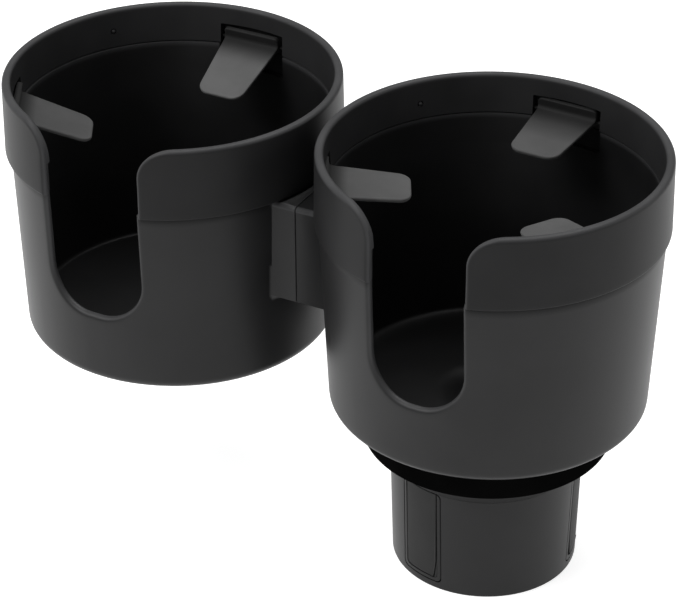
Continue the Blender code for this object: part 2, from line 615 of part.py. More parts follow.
def foot_mesh():
    """One foot along +X: shoe that fills the window, cored behind, with a guided arm."""
    foot = window_prism("foot", GAP, FOOT_INNER_R, BASE_TOP_R + OVERCUT)
    combine(foot, "INTERSECT", base_solid("limit", 0.0, -OVERCUT, BASE_HEIGHT + OVERCUT))
    half = WINDOW_WIDTH / 2 - GAP
    back_x = BASE_TOP_R - PAD_THICK - GAP - FOOT_SKIN
    low_z = WINDOW_SILL_Z + GAP
    for side in (-1, 1):
        ys = sorted((side * ARM_THICK / 2, side * (half - FOOT_SKIN)))
        core = pushed("core", box((FOOT_INNER_R - OVERCUT, ys[0]), (back_x, ys[1])),
                      low_z + FOOT_SKIN, WINDOW_HEAD_Z - GAP - FOOT_SKIN)
        combine(foot, "DIFFERENCE", core)
    nose_x = SCROLL_START_R - ARM_PIN_R - ARM_NOSE
    arm = pushed("arm", box((nose_x, -ARM_THICK / 2), (back_x + FOOT_SKIN / 2, ARM_THICK / 2)),
                 low_z, ARM_TOP_Z)
    pin = pushed("pin", circle((SCROLL_START_R, 0.0), ARM_PIN_R), ARM_TOP_Z - ARM_PIN_HEIGHT,
                 ARM_TOP_Z + ARM_PIN_HEIGHT)
    combine(foot, "UNION", arm, pin)
    recess = pad_prism("recess", BASE_TOP_R - PAD_THICK - GAP, GAP, WINDOW_HEAD_Z + GAP)
    combine(foot, "DIFFERENCE", recess)
    return foot


def pad_mesh():
    """One rubber pad along +X: flat behind, and flush with the round base in front."""
    pad = pad_prism("pad", BASE_TOP_R - PAD_THICK, 0.0, WINDOW_HEAD_Z - GAP)
    return combine(pad, "INTERSECT",
                   base_solid("limit", 0.0, -OVERCUT, BASE_HEIGHT + OVERCUT))


def feet():
    """Three feet with their pads, each turned to its window."""
    for pattern, name, colour, roughness in ((foot_mesh(), "foot", BODY_BLACK, 0.42),
                                             (pad_mesh(), "foot_pad", TAB_GREY, 0.7)):
        for number, angle in enumerate(FOOT_ANGLES, start=1):
            copy = bpy.data.objects.new(f"{name}_{number}", pattern.data.copy())
            bpy.context.scene.collection.objects.link(copy)
            copy.rotation_euler.z = math.radians(angle)
            finished(copy, colour, roughness)
        bpy.data.objects.remove(pattern, do_unlink=True)


def groove_outline(start_angle):
    """Plan of one scroll groove: radius grows by a constant pitch as the angle grows."""
    steps = 5 * CORNER_STEPS
    outer, inner = [], []
    for i in range(steps + 1):
        turn = math.radians(TURN_RANGE) * i / steps
        radius = SCROLL_START_R + SCROLL_PITCH * turn
        around = math.radians(start_angle) + turn
        radial = Vector((math.cos(around), math.sin(around)))
        tangent = Vector((-radial.y, radial.x))
        travel = (radial * SCROLL_PITCH + tangent * radius).normalized()
        outward = Vector((travel.y, -travel.x))
        centre = radial * radius
        outer.append(centre + outward * GROOVE_R)
        inner.append(centre - outward * GROOVE_R)
        if i == 0:
            start = (centre, math.degrees(math.atan2(-outward.y, -outward.x)))
    end = (centre, math.degrees(math.atan2(outward.y, outward.x)))
    both = (GROOVE_R, GROOVE_R)
    cap_end = arc(end[0], both, end[1], end[1] + 180, 2 * CORNER_STEPS)[1:-1]
    cap_start = arc(start[0], both, start[1], start[1] + 180, 2 * CORNER_STEPS)[1:-1]
    return [tuple(p) for p in outer] + cap_end + [tuple(p) for p in reversed(inner)] + cap_start


def scroll_plate():
    """Plate with three scroll grooves below, a shoulder, a hub and a square drive."""
    profile = [(0.0, SCROLL_FOOT_Z), (SCROLL_R, SCROLL_FOOT_Z), (SCROLL_R, SCROLL_TOP_Z),
               (SCROLL_SHOULDER_R, SCROLL_TOP_Z), (SCROLL_SHOULDER_R, BASE_HEIGHT - GAP),
               (SCROLL_HUB_R, BASE_HEIGHT - GAP), (SCROLL_HUB_R, DECK_TOP_Z),
               (0.0, DECK_TOP_Z)]
    plate = turned("scroll_plate", profile)
    half = DRIVE_WIDTH / 2
    drive = pushed("drive", box((-half, -half), (half, half)), BASE_HEIGHT, DRIVE_TOP_Z)
    combine(plate, "UNION", drive)
    groove_top = ARM_TOP_Z + ARM_PIN_HEIGHT + GAP
    grooves = [pushed("groove", groove_outline(angle), ARM_TOP_Z, groove_top)
               for angle in FOOT_ANGLES]
    bore = pushed("bore", circle((0.0, 0.0), HUB_SCREW_R + GAP),
                  DRIVE_TOP_Z - HUB_SCREW_DEPTH - GAP, DRIVE_TOP_Z + OVERCUT)
    combine(plate, "DIFFERENCE", *grooves, bore)
    return finished(plate, INNER_GREY, 0.5)


def base_flange():
    """Dish that closes the base: deck with a spigot below, and a rim under the cup."""
    edge = FLANGE_EDGE
    profile = [(DECK_HOLE_R, BASE_HEIGHT), (SPIGOT_R - FLANGE_SPIGOT_WALL, BASE_HEIGHT),
               (SPIGOT_R - FLANGE_SPIGOT_WALL, SPIGOT_Z), (SPIGOT_R, SPIGOT_Z),
               (SPIGOT_R, BASE_HEIGHT), (FLANGE_R - edge, BASE_HEIGHT),
               (FLANGE_R, BASE_HEIGHT + edge), (FLANGE_R, FLANGE_TOP_Z - edge),
               (FLANGE_R - edge, FLANGE_TOP_Z), (FLANGE_R - FLANGE_RIM, FLANGE_TOP_Z),
               (FLANGE_R - FLANGE_RIM, DECK_TOP_Z), (DECK_HOLE_R, DECK_TOP_Z)]
    flange = turned("base_flange", profile)
    holes = [moved_to(pushed("hole", circle((BOSS_CENTRE_R, 0.0), FLANGE_SCREW_R + GAP),
                             SPIGOT_Z, DECK_TOP_Z + OVERCUT), angle=angle)
             for angle in BOSS_ANGLES]
    combine(flange, "DIFFERENCE", *holes)
    return finished(flange, FLANGE_BLACK, 0.6)


def screw(name, centre, seat_z, foot_z, radius, head_r, head_height):
    """Plain round-head screw standing on a seat, with its thread left smooth."""
    dome = [(head_r, seat_z + head_height / 2), (head_r * 0.8, seat_z + head_height)]
    profile = [(0.0, foot_z), (radius, foot_z), (radius, seat_z), (head_r, seat_z)] + dome
    body = turned(name, profile + [(0.0, seat_z + head_height)], SMALL_SEGMENTS)
    body.location = (centre[0], centre[1], 0.0)
    return finished(body, STEEL, 0.35, 1.0)


def fasteners():
    """Hub screw with its washer, and the three screws that hold the flange."""
    washer = turned("hub_washer", [(HUB_SCREW_R + GAP, WASHER_Z), (WASHER_R, WASHER_Z),
                                   (WASHER_R, WASHER_Z + WASHER_THICK),
                                   (HUB_SCREW_R + GAP, WASHER_Z + WASHER_THICK)],
                    SMALL_SEGMENTS)
    finished(washer, STEEL, 0.35, 1.0)
    screw("hub_screw", (0.0, 0.0), SCREW_HEAD_Z, DRIVE_TOP_Z - HUB_SCREW_DEPTH, HUB_SCREW_R,
          HUB_SCREW_HEAD_R, HUB_SCREW_HEAD)
    for number, angle in enumerate(BOSS_ANGLES, start=1):
        around = math.radians(angle)
        centre = (BOSS_CENTRE_R * math.cos(around), BOSS_CENTRE_R * math.sin(around))
        screw(f"flange_screw_{number}", centre, DECK_TOP_Z + GAP,
              BASE_HEIGHT - FLANGE_SCREW_DEPTH, FLANGE_SCREW_R, FLANGE_SCREW_HEAD_R,
              FLANGE_SCREW_HEAD)


def build():
    """Clear the scene and make every piece."""
    for obj in list(bpy.data.objects):
        bpy.data.objects.remove(obj, do_unlink=True)
    base_housing()
    base_flange()
    scroll_plate()
    feet()
    fasteners()
    main_shell()
    side_shell()
    tab = tab_mesh()
    for cup, cup_x, tab_turn, slope in (("main", 0.0, MAIN_TAB_TURN, MAIN_TAB_SLOPE),
                                        ("side", -CUP_SPACING, 0.0, SIDE_TAB_SLOPE)):
        collar(f"{cup}_collar", cup_x, tab_turn)
        grip_tabs(cup, cup_x, tab_turn, slope, tab)


build()
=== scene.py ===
# %% [markdown]
# # A two-cup expander for a vehicle's cup holder
# This file dresses a finished model. The working solids come from the frame: it knows
# where every piece is, how big it is and what it moves with. Here each piece gets the
# surface that an eye expects: round edges, fine moulding texture, rubber and steel.
# Everything is in metres, and Z points up.

# %% Load the model
import json
import math

import bmesh
import bpy
from mathutils import Matrix, Vector


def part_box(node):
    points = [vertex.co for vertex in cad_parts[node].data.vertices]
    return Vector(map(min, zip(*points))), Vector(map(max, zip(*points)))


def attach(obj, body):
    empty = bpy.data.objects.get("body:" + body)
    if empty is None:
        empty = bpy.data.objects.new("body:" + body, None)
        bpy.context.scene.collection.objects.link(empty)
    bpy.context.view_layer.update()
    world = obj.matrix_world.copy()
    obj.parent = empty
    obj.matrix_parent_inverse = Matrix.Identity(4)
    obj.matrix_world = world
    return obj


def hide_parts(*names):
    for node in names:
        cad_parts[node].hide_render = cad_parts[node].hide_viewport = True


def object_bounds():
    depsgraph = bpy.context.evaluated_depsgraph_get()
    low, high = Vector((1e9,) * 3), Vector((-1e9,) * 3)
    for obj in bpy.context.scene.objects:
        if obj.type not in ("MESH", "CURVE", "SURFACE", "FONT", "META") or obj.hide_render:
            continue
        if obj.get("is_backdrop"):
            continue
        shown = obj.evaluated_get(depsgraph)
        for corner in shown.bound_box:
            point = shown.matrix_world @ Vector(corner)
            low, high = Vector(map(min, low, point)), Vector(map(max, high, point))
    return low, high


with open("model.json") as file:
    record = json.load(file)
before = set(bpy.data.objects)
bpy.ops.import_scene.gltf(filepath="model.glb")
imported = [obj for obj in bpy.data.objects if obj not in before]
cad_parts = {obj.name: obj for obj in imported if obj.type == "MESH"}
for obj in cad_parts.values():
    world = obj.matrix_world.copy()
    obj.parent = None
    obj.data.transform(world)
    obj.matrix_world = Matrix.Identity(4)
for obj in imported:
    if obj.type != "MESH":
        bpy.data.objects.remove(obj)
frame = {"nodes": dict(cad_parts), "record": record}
cad_low, cad_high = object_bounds()
MM = 0.001
print("model", [round(v / MM, 1) for v in cad_high - cad_low], "mm")

# %% [markdown]
# ## The camera
# The photo was taken with a long lens from the front right and well above the rims. Such
# a view could be found by eye, turning the camera until the rims lie on top of the
# photo's. Here it was worked out instead: a place, a direction, a slight roll and a lens,
# which together put both rims and both bottoms where the photo has them.

# %% Make the camera
CAMERA_PLACE = Vector((0.30737, -0.66703, 0.54202))
VIEW_DIRECTION = Vector((-0.40848, 0.75075, -0.51915)).normalized()
CAMERA_ROLL = -0.0066
CAMERA_LENS = 140.55
SENSOR_WIDTH = 36.0

level_right = VIEW_DIRECTION.cross(Vector((0, 0, 1))).normalized()
level_up = level_right.cross(VIEW_DIRECTION)
right = level_right * math.cos(CAMERA_ROLL) + level_up * math.sin(CAMERA_ROLL)
up = right.cross(VIEW_DIRECTION)

camera = bpy.data.objects.new("camera", bpy.data.cameras.new("camera"))
camera.data.lens = CAMERA_LENS
camera.data.sensor_fit = "HORIZONTAL"
camera.data.sensor_width = SENSOR_WIDTH
turned_to = Matrix((right, up, -VIEW_DIRECTION)).transposed().to_4x4()
camera.matrix_world = Matrix.Translation(CAMERA_PLACE) @ turned_to
bpy.context.scene.collection.objects.link(camera)
bpy.context.scene.camera = camera
print("camera", round(CAMERA_PLACE.length, 3), "m from the origin")

# %% [markdown]
# ## Floor and light
# The photo is a product shot on pure white: light comes from large white surfaces all
# round. One big lamp would leave a black plastic part as a black hole. What shows its
# form is what it mirrors, so there are wide soft lamps left, right and above, and one in
# front that draws the light line along every rim.
# The floor is a light table, as photographers use for such shots: it glows a little, so
# that it stays white and takes no hard shadow. Plain colours, not a film look, keep the
# blacks as deep as the photo's.

# %% Make the floor and the lamps
def soft_lamp(name, place, target, size, power):
    """A square area lamp that looks at a point."""
    lamp = bpy.data.lights.new(name, "AREA")
    lamp.shape = "SQUARE"
    lamp.size = size
    lamp.energy = power
    holder = bpy.data.objects.new(name, lamp)
    holder.location = place
    holder.rotation_mode = "QUATERNION"
    holder.rotation_quaternion = (Vector(target) - Vector(place)).to_track_quat("-Z", "Y")
    bpy.context.scene.collection.objects.link(holder)


middle = (cad_low + cad_high) / 2
soft_lamp("lamp_above", (-0.1, 0.45, 1.4), middle, 1.0, 12.5)
soft_lamp("lamp_front", (-0.6, -0.8, 1.25), middle, 0.8, 13.0)
soft_lamp("lamp_left", (-1.3, -0.6, 0.5), middle, 1.0, 4.2)
soft_lamp("lamp_right", (1.4, 0.6, 0.7), middle, 1.0, 4.4)

WORLD_GLOW = 0.3
world = bpy.data.worlds.new("studio")
world.use_nodes = True
glow = world.node_tree.nodes["Background"].inputs
glow["Color"].default_value = (1, 1, 1, 1)
glow["Strength"].default_value = WORLD_GLOW
bpy.context.scene.world = world
bpy.context.scene.view_settings.view_transform = "Standard"

FLOOR_SIZE = 30.0
FLOOR_Z = -0.05 * MM            # just below the base, so that the two faces never mix
floor_mesh = bpy.data.meshes.new("floor")
half = FLOOR_SIZE / 2
corners = [(-half, -half, FLOOR_Z), (half, -half, FLOOR_Z), (half, half, FLOOR_Z),
           (-half, half, FLOOR_Z)]
floor_mesh.from_pydata(corners, [], [(0, 1, 2, 3)])
floor = bpy.data.objects.new("floor", floor_mesh)
bpy.context.scene.collection.objects.link(floor)
floor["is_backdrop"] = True
print("floor", FLOOR_SIZE, "m")

# %% [markdown]
# ## Plastic, rubber and steel
# A moulded part is never one flat colour. Its mould was etched, so the skin has a grain
# finer than a hair, and its shine varies a little from place to place. An image could
# carry that, but noise worked out in the part's own space needs no unwrapping and has the
# right scale at once. One function makes every finish here: a colour that drifts between
# two close tones, a roughness that drifts too, and a fine bump for the grain.

# %% One recipe for every finish
FINISHES = {}
TONE_STOPS = (0.35, 0.65)       # where the noise gives the dark and the light tone
SHINE_DRIFT = 0.03
GRAIN_STRENGTH = 0.6


def finish_material(name, dark, light, rough, drift_size, grain_size, grain_depth,
                    metallic=0.0, specular=0.5, sheen=0.0):
    """Make a procedural finish: drifting tone and shine, and a fine grain as bump."""
    material = bpy.data.materials.new(name)
    material.use_nodes = True
    nodes, links = material.node_tree.nodes, material.node_tree.links
    shader = nodes["Principled BSDF"]
    place = nodes.new("ShaderNodeTexCoord")
    drift = nodes.new("ShaderNodeTexNoise")
    drift.inputs["Scale"].default_value = 1.0 / drift_size
    drift.inputs["Detail"].default_value = 3.0
    tone = nodes.new("ShaderNodeValToRGB")
    for stop, position, colour in zip(tone.color_ramp.elements, TONE_STOPS, (dark, light)):
        stop.position = position
        stop.color = (*colour, 1.0)
    shine = nodes.new("ShaderNodeMapRange")
    shine.inputs["To Min"].default_value = rough - SHINE_DRIFT
    shine.inputs["To Max"].default_value = rough + SHINE_DRIFT
    grain = nodes.new("ShaderNodeTexNoise")
    grain.inputs["Scale"].default_value = 1.0 / grain_size
    grain.inputs["Detail"].default_value = 2.0
    bump = nodes.new("ShaderNodeBump")
    bump.inputs["Strength"].default_value = GRAIN_STRENGTH
    bump.inputs["Distance"].default_value = grain_depth
    links.new(place.outputs["Object"], drift.inputs["Vector"])
    links.new(place.outputs["Object"], grain.inputs["Vector"])
    links.new(drift.outputs["Fac"], tone.inputs["Fac"])
    links.new(drift.outputs["Fac"], shine.inputs["Value"])
    links.new(tone.outputs["Color"], shader.inputs["Base Color"])
    links.new(shine.outputs["Result"], shader.inputs["Roughness"])
    links.new(grain.outputs["Fac"], bump.inputs["Height"])
    links.new(bump.outputs["Normal"], shader.inputs["Normal"])
    shader.inputs["Metallic"].default_value = metallic
    shader.inputs["Specular IOR Level"].default_value = specular
    shader.inputs["Sheen Weight"].default_value = sheen
    FINISHES[name] = material


def grey(value, tint=0.0):
    """A near-neutral colour, with a little more blue where there is a tint."""
    return (value, value, value * (1.0 + tint))


print("a mid grey is", grey(0.18))

# %% Make the finishes
finish_material("body_plastic", grey(0.008, 0.03), grey(0.011, 0.03), 0.42,
                25 * MM, 0.35 * MM, 0.02 * MM, specular=0.21)
finish_material("collar_plastic", grey(0.009, 0.03), grey(0.012, 0.03), 0.46,
                25 * MM, 0.35 * MM, 0.012 * MM, specular=0.13)
finish_material("flange_plastic", grey(0.002), grey(0.003), 0.75,
                20 * MM, 0.3 * MM, 0.02 * MM, specular=0.0)
finish_material("inner_plastic", grey(0.12), grey(0.14), 0.5,
                20 * MM, 0.3 * MM, 0.01 * MM)
finish_material("tab_rubber", grey(0.054), grey(0.066), 0.68,
                12 * MM, 0.25 * MM, 0.025 * MM, specular=0.25, sheen=0.05)
finish_material("pad_rubber", grey(0.012), grey(0.016), 0.6,
                12 * MM, 0.25 * MM, 0.025 * MM, specular=0.2)
finish_material("screw_steel", grey(0.50), grey(0.58), 0.3,
                4 * MM, 0.15 * MM, 0.004 * MM, metallic=1.0)
finish_material("pale_floor", grey(0.68), grey(0.70), 0.8,
                400 * MM, 2 * MM, 0.01 * MM, specular=0.2)
FLOOR_GLOW = 0.75
floor_shader = FINISHES["pale_floor"].node_tree.nodes["Principled BSDF"]
floor_shader.inputs["Emission Strength"].default_value = FLOOR_GLOW
floor_mesh.materials.append(FINISHES["pale_floor"])

slot_of = {part["node"]: part["material_slot"] for part in frame["record"]["subparts"]}
for node, obj in frame["nodes"].items():
    obj.data.materials.clear()
    obj.data.materials.append(FINISHES[slot_of[node]])
print(len(set(slot_of.values())), "finishes on", len(slot_of), "pieces")

# %% [markdown]
# ## Painted highlights and shade
# The rims, the edges of the notches, the top of each shell, the link's top edges and the
# inside of each band carry a painted highlight: their colour is made paler where light
# would catch them. The tabs carry painted shade: darkest at the root under the rim, and
# each tab painted a little brighter or darker for how light falls on it. A second finish
# with a border between the two would look painted. So each mesh stores a number from 0
# to 1 for every spot, and the finish reads that number and scales its own tone.

# %% Let a finish read how much painted light a spot takes
def scale_tone(material, attribute, low, high):
    """Scale a finish's colour by a number stored on the mesh, 0 to 1, from low to high."""
    nodes, links = material.node_tree.nodes, material.node_tree.links
    base = nodes["Principled BSDF"].inputs["Base Color"]
    tone = base.links[0].from_socket
    stored = nodes.new("ShaderNodeAttribute")
    stored.attribute_name = attribute
    share = nodes.new("ShaderNodeMapRange")
    share.interpolation_type = "SMOOTHSTEP"
    share.inputs["To Min"].default_value = low
    share.inputs["To Max"].default_value = high
    scaled = nodes.new("ShaderNodeVectorMath")
    scaled.operation = "SCALE"
    links.new(stored.outputs["Fac"], share.inputs["Value"])
    links.new(tone, scaled.inputs[0])
    links.new(share.outputs["Result"], scaled.inputs["Scale"])
    links.new(scaled.outputs["Vector"], base)


# painted light: a paler tone for highlight lines on rims and edges, a darker tone for shade at
# the tabs' roots
PAINTED_LIGHT_FINISHES = {"tab_rubber": ("painted_tab_light", 0.08, 1.25), "collar_plastic": ("painted_edge_highlight", 1.0, 4.3),
        "body_plastic": ("painted_edge_highlight", 1.0, 3.5)}
for name, (attribute, low, high) in PAINTED_LIGHT_FINISHES.items():
    scale_tone(FINISHES[name], attribute, low, high)
# the count is of finishes that take painted highlights or painted shade
print(len(PAINTED_LIGHT_FINISHES), "finishes show wear")

# %% [markdown]
# ## Fine pieces for plain ones
# The solids have 48 flats round each cup and hard edges, which is right for working out
# collisions and wrong for the eye. A fine piece takes the place of each one that shows:
# it rides on the same body, takes the same finish and hides the plain solid.

# %% Put a fine piece in its place
SMOOTH_BELOW = math.radians(36)
body_of = {node: body for body, nodes in frame["record"]["behaviour"]["bodies"].items()
           for node in nodes}


def add_piece(node, mesh):
    """Put a mesh in the scene in place of a plain solid, with its body and its finish."""
    obj = bpy.data.objects.new("fine_" + node, mesh)
    bpy.context.scene.collection.objects.link(obj)
    obj.data.materials.clear()
    obj.data.materials.append(FINISHES[slot_of[node]])
    obj.data.shade_smooth()
    obj.data.set_sharp_from_angle(angle=SMOOTH_BELOW)
    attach(obj, body_of[node])
    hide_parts(node)
    return obj


def share_of(value):
    """A number held between 0 and 1."""
    return min(1.0, max(0.0, value))


def store(mesh, attribute, measure):
    """Store a number from 0 to 1 on every corner of a mesh, for a finish to read."""
    stored = mesh.attributes.new(attribute, "FLOAT", "POINT")
    for i, vertex in enumerate(mesh.vertices):
        stored.data[i].value = share_of(measure(vertex.co))
    return mesh


# %% Draw closed forms
def mesh_of(name, corners, faces):
    """A closed mesh from corners and faces, with every face looking outwards."""
    mesh = bpy.data.meshes.new(name)
    mesh.from_pydata(corners, [], faces)
    bm = bmesh.new()
    bm.from_mesh(mesh)
    bmesh.ops.recalc_face_normals(bm, faces=bm.faces)
    bm.to_mesh(mesh)
    bm.free()
    return mesh


def rectangle(low, high):
    """The outline between two corners."""
    return [(low[0], low[1]), (high[0], low[1]), (high[0], high[1]), (low[0], high[1])]


def arc(centre, radius, start, end, steps):
    """Points of a circular arc in degrees, both ends included."""
    turns = [math.radians(start + (end - start) * i / steps) for i in range(steps + 1)]
    return [(centre[0] + radius * math.cos(a), centre[1] + radius * math.sin(a))
            for a in turns]


def face_of(*corners):
    """A face without the corners that stand twice in a row of them."""
    return tuple(dict.fromkeys(corners))


def turned(name, profile, segments=192, phase=0.0):
    """Spin an (r, z) profile about Z; it is closed unless both its ends are on the axis."""
    corners, rings = [], []
    for r, z in profile:
        count = segments if r > 0 else 1
        rings.append([len(corners) + i for i in range(count)] * (segments // count))
        for i in range(count):
            turn = phase + math.tau * i / segments
            corners.append((r * math.cos(turn), r * math.sin(turn), z))
    pairs = list(zip(rings, rings[1:]))
    if profile[0][0] > 0:
        pairs.append((rings[-1], rings[0]))
    faces = []
    for low, high in pairs:
        for i in range(segments):
            j = (i + 1) % segments
            faces.append(face_of(low[i], low[j], high[j], high[i]))
    return mesh_of(name, corners, faces)


def pushed(name, outline, start, end, axis="Z"):
    """Push a flat outline along an axis: (x, y) along Z, (y, z) along X, (x, z) along Y."""
    def corner(u, v, depth):
        return {"X": (depth, u, v), "Y": (u, depth, v), "Z": (u, v, depth)}[axis]
    count = len(outline)
    corners = [corner(u, v, depth) for depth in (start, end) for u, v in outline]
    faces = [tuple(range(count)), tuple(range(count, 2 * count))]
    for i in range(count):
        j = (i + 1) % count
        faces.append((i, j, count + j, count + i))
    return mesh_of(name, corners, faces)


print("a quarter arc in 8 steps has", len(arc((0, 0), MM, 0, 90, 8)), "points")

# %% Move, join and soften forms
WELD = 1e-6                     # corners closer than this become one


def moved(mesh, place=(0, 0, 0), turn=0.0, tilt=0.0):
    """Tilt a mesh about Y, turn it about Z and shift it; angles are in degrees."""
    mesh.transform(Matrix.Translation(Vector(place))
                   @ Matrix.Rotation(math.radians(turn), 4, "Z")
                   @ Matrix.Rotation(math.radians(tilt), 4, "Y"))
    return mesh


def applied(obj):
    """An object's mesh with its modifiers applied; the object itself goes."""
    bpy.context.view_layer.update()
    depsgraph = bpy.context.evaluated_depsgraph_get()
    mesh = bpy.data.meshes.new_from_object(obj.evaluated_get(depsgraph))
    bpy.data.objects.remove(obj)
    return mesh


def combined(mesh, operation, *tools):
    """The exact union, difference or overlap of a mesh and other meshes."""
    for tool in tools:
        target = bpy.data.objects.new("target", mesh)
        cutter = bpy.data.objects.new("cutter", tool)
        for obj in (target, cutter):
            bpy.context.scene.collection.objects.link(obj)
        step = target.modifiers.new("combine", "BOOLEAN")
        step.operation = operation
        step.solver = "EXACT"
        step.object = cutter
        mesh = applied(target)
        bpy.data.objects.remove(cutter)
        bm = bmesh.new()
        bm.from_mesh(mesh)
        bmesh.ops.remove_doubles(bm, verts=bm.verts, dist=WELD)
        bmesh.ops.dissolve_degenerate(bm, edges=bm.edges, dist=WELD)
        bm.to_mesh(mesh)
        bm.free()
    return mesh


def soften(obj, width, steps=2, angle=50.0):
    """Round every edge that is sharper than an angle."""
    bevel = obj.modifiers.new("soft edges", "BEVEL")
    bevel.width = width
    bevel.segments = steps
    bevel.limit_method = "ANGLE"
    bevel.angle_limit = math.radians(angle)
    bevel.use_clamp_overlap = False
    bevel.harden_normals = True
    return obj


print("welds corners within", WELD / MM, "mm")

# %% [markdown]
# ## A wall with a soft edge
# Both cups have a thin wall with a notch in it, and the same goes for the collars. The
# obvious way is to cut the notch out of a round wall and then to round the edge that the
# cut leaves, but a rounding tool stumbles over hundreds of tiny facets. A tailor's way
# works better: lay the wall out flat, draw lines round the opening at growing distances,
# and roll the pattern up twice, once as the outside and once as the inside. Where a line
# is close to the opening, both skins move towards each other, so they meet in a round.

# %% Draw the lines and bend them round
EDGE_STEPS = 6                  # lines across a rounded edge
POINTS_PER_METRE = 1e7          # flat points closer than this count as one
BACK_STEPS = 190


def edge_lines(rounding, reach, stride):
    """Distances from an edge: close together inside the rounding, then even."""
    near = [rounding * (1 - math.sin(math.radians(90 - 90 / EDGE_STEPS * i)))
            for i in range(EDGE_STEPS + 1)]
    count = max(1, round((reach - rounding) / stride))
    return near + [rounding + (reach - rounding) * (i + 1) / count for i in range(count)]


def sunk(distance, rounding):
    """How deep a quarter-round lies below the skin at a distance from its edge."""
    if distance >= rounding:
        return 0.0
    return rounding - math.sqrt(rounding ** 2 - (rounding - distance) ** 2)


def profile_radius(profile, z):
    """Radius of an (r, z) profile at a height."""
    for (r0, z0), (r1, z1) in zip(profile, profile[1:]):
        if z <= z1:
            return r0 + (r1 - r0) * max(0.0, z - z0) / (z1 - z0)
    return profile[-1][0]


def rolled(point, radius):
    """Place a flat point (x, share, z) on a round wall; share runs once round the back."""
    x, share, z = point
    start = math.asin(x / radius)
    turn = start + share * (math.tau - 2 * start)
    return (radius * math.sin(turn), -radius * math.cos(turn), z)


def same_point(point):
    """One name for a flat point, also where the way round the back ends."""
    x, share, z = point
    if share == 1:
        x, share = -x, 0
    # 0.37 keeps round sizes well away from the border between two names
    return tuple(math.floor(v * POINTS_PER_METRE + 0.37) for v in (x, share, z))


def mirrored(rows):
    """The same lines on the other side of the notch."""
    return [[((-x, 0, z), distance) for (x, _, z), distance in row] for row in rows]


def round_back(half, heights):
    """Lines round the back, one for each (z, distance), between the notch's two sides."""
    return [[((half, i / BACK_STEPS, z), distance) for i in range(BACK_STEPS + 1)]
            for z, distance in heights]


print("lines at", [round(d / MM, 2) for d in edge_lines(MM, 4 * MM, MM)], "mm")

# %% Roll the pattern up as two skins
def add_floor(profile, ring, corners, faces):
    """Carry a skin on along an (r, z) profile, from its lowest ring to the middle."""
    turn = {i: math.atan2(corners[i][0], -corners[i][1]) for i in ring}
    ring = sorted(ring, key=turn.get)
    above = ring
    for r, z in reversed(profile):
        if r > 0:
            below = [len(corners) + i for i in range(len(ring))]
            corners += [(r * math.sin(turn[i]), -r * math.cos(turn[i]), z) for i in ring]
        else:
            below = [len(corners)] * len(ring)
            corners.append((0.0, 0.0, z))
        for i in range(len(ring)):
            j = (i + 1) % len(ring)
            faces.append(face_of(below[i], below[j], above[j], above[i]))
        above = below
    return above


def closing_faces(faces, partner):
    """Faces that join every open edge of one skin to the same edge of the other."""
    uses = {}
    for face in faces:
        for a, b in zip(face, face[1:] + face[:1]):
            uses.setdefault(frozenset((a, b)), []).append((a, b))
    return [(b, a, partner[a], partner[b]) for (a, b), *more in uses.values()
            if not more and a in partner and b in partner]


def roll_wall(name, grids, outer, inner, sink, floors=None):
    """Roll flat grids up as an outside and an inside, and close every open edge.

    A grid holds rows of ((x, share, z), distance). Floors are two (r, z) profiles, from
    the middle outwards, that continue the lowest line of the wall on both skins.
    """
    corners, faces, index = [], [], ({}, {})

    def corner(point, distance, skin):
        key = same_point(point)
        if key not in index[skin]:
            z = point[2]
            depth = sink(distance, z, skin)
            radius = profile_radius(inner, z) + depth if skin else \
                profile_radius(outer, z) - depth
            index[skin][key] = len(corners)
            corners.append(rolled(point, radius))
        return index[skin][key]

    for grid in grids:
        for low, high in zip(grid, grid[1:]):
            for quad in zip(low, low[1:], high[1:], high):
                for skin in (0, 1):
                    face = face_of(*[corner(*item, skin) for item in quad])
                    if len(face) > 2:
                        faces.append(face)

    partner = {index[0][key]: index[1][key] for key in index[0]}
    if floors:
        lowest = min(key[2] for key in index[0])
        rims = [add_floor(profile, [index[skin][key] for key in index[0] if key[2] == lowest],
                          corners, faces) for skin, profile in enumerate(floors)]
        partner.update(zip(*rims))
    faces += closing_faces(faces, partner)
    return mesh_of(name, corners, faces)


one_square = closing_faces([(0, 1, 2, 3)], {i: i + 4 for i in range(4)})
print("an open square closes with", len(one_square), "faces")

# %% [markdown]
# ## Cup shells
# Each shell is a moulded cup with a steep wall, a rounded bottom and a deep U cut into its
# front for a mug's handle. Near the top it steps in, and the collar goes over that neck.
# Its pattern has lines that follow the U, a frame round them, and a plain back.
# No two notches of the photo are quite alike, so each wall has its own width of notch and
# its own slight turn.

# %% Sizes that both cups share
GAP = 0.3 * MM                  # what the solids leave between pieces that touch
RIM_Z = cad_high.z
CUP_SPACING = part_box("main_collar")[1].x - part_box("side_collar")[1].x
CUP_X = {"main": 0.0, "side": -CUP_SPACING}
FOOT_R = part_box("main_collar")[1].x
COLLAR_FOOT_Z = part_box("main_collar")[0].z
SHELL_TOP_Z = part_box("main_shell")[1].z
SHELF_Z = SHELL_TOP_Z + GAP
NECK_R = FOOT_R - 2.5 * MM
NOTCH_HALVES = {"main_shell": 15.9 * MM, "side_shell": 17.05 * MM,
                "main_collar": 16.1 * MM, "side_collar": 17.1 * MM}
NOTCH_TURNS = {"main_shell": -0.8, "side_shell": -0.5,
               "main_collar": 0.1, "side_collar": 1.2}      # degrees
NOTCH_BOTTOM_Z = RIM_Z - 65.5 * MM
NOTCH_ROUND = 14.5 * MM
WALL = 2.6 * MM
TOP_R = {"main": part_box("main_shell")[1].x,
         "side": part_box("side_shell")[0].x * -1 - CUP_SPACING}
TAPER = {"main": 3.0 * MM, "side": 1.8 * MM}                # narrower at the foot by this
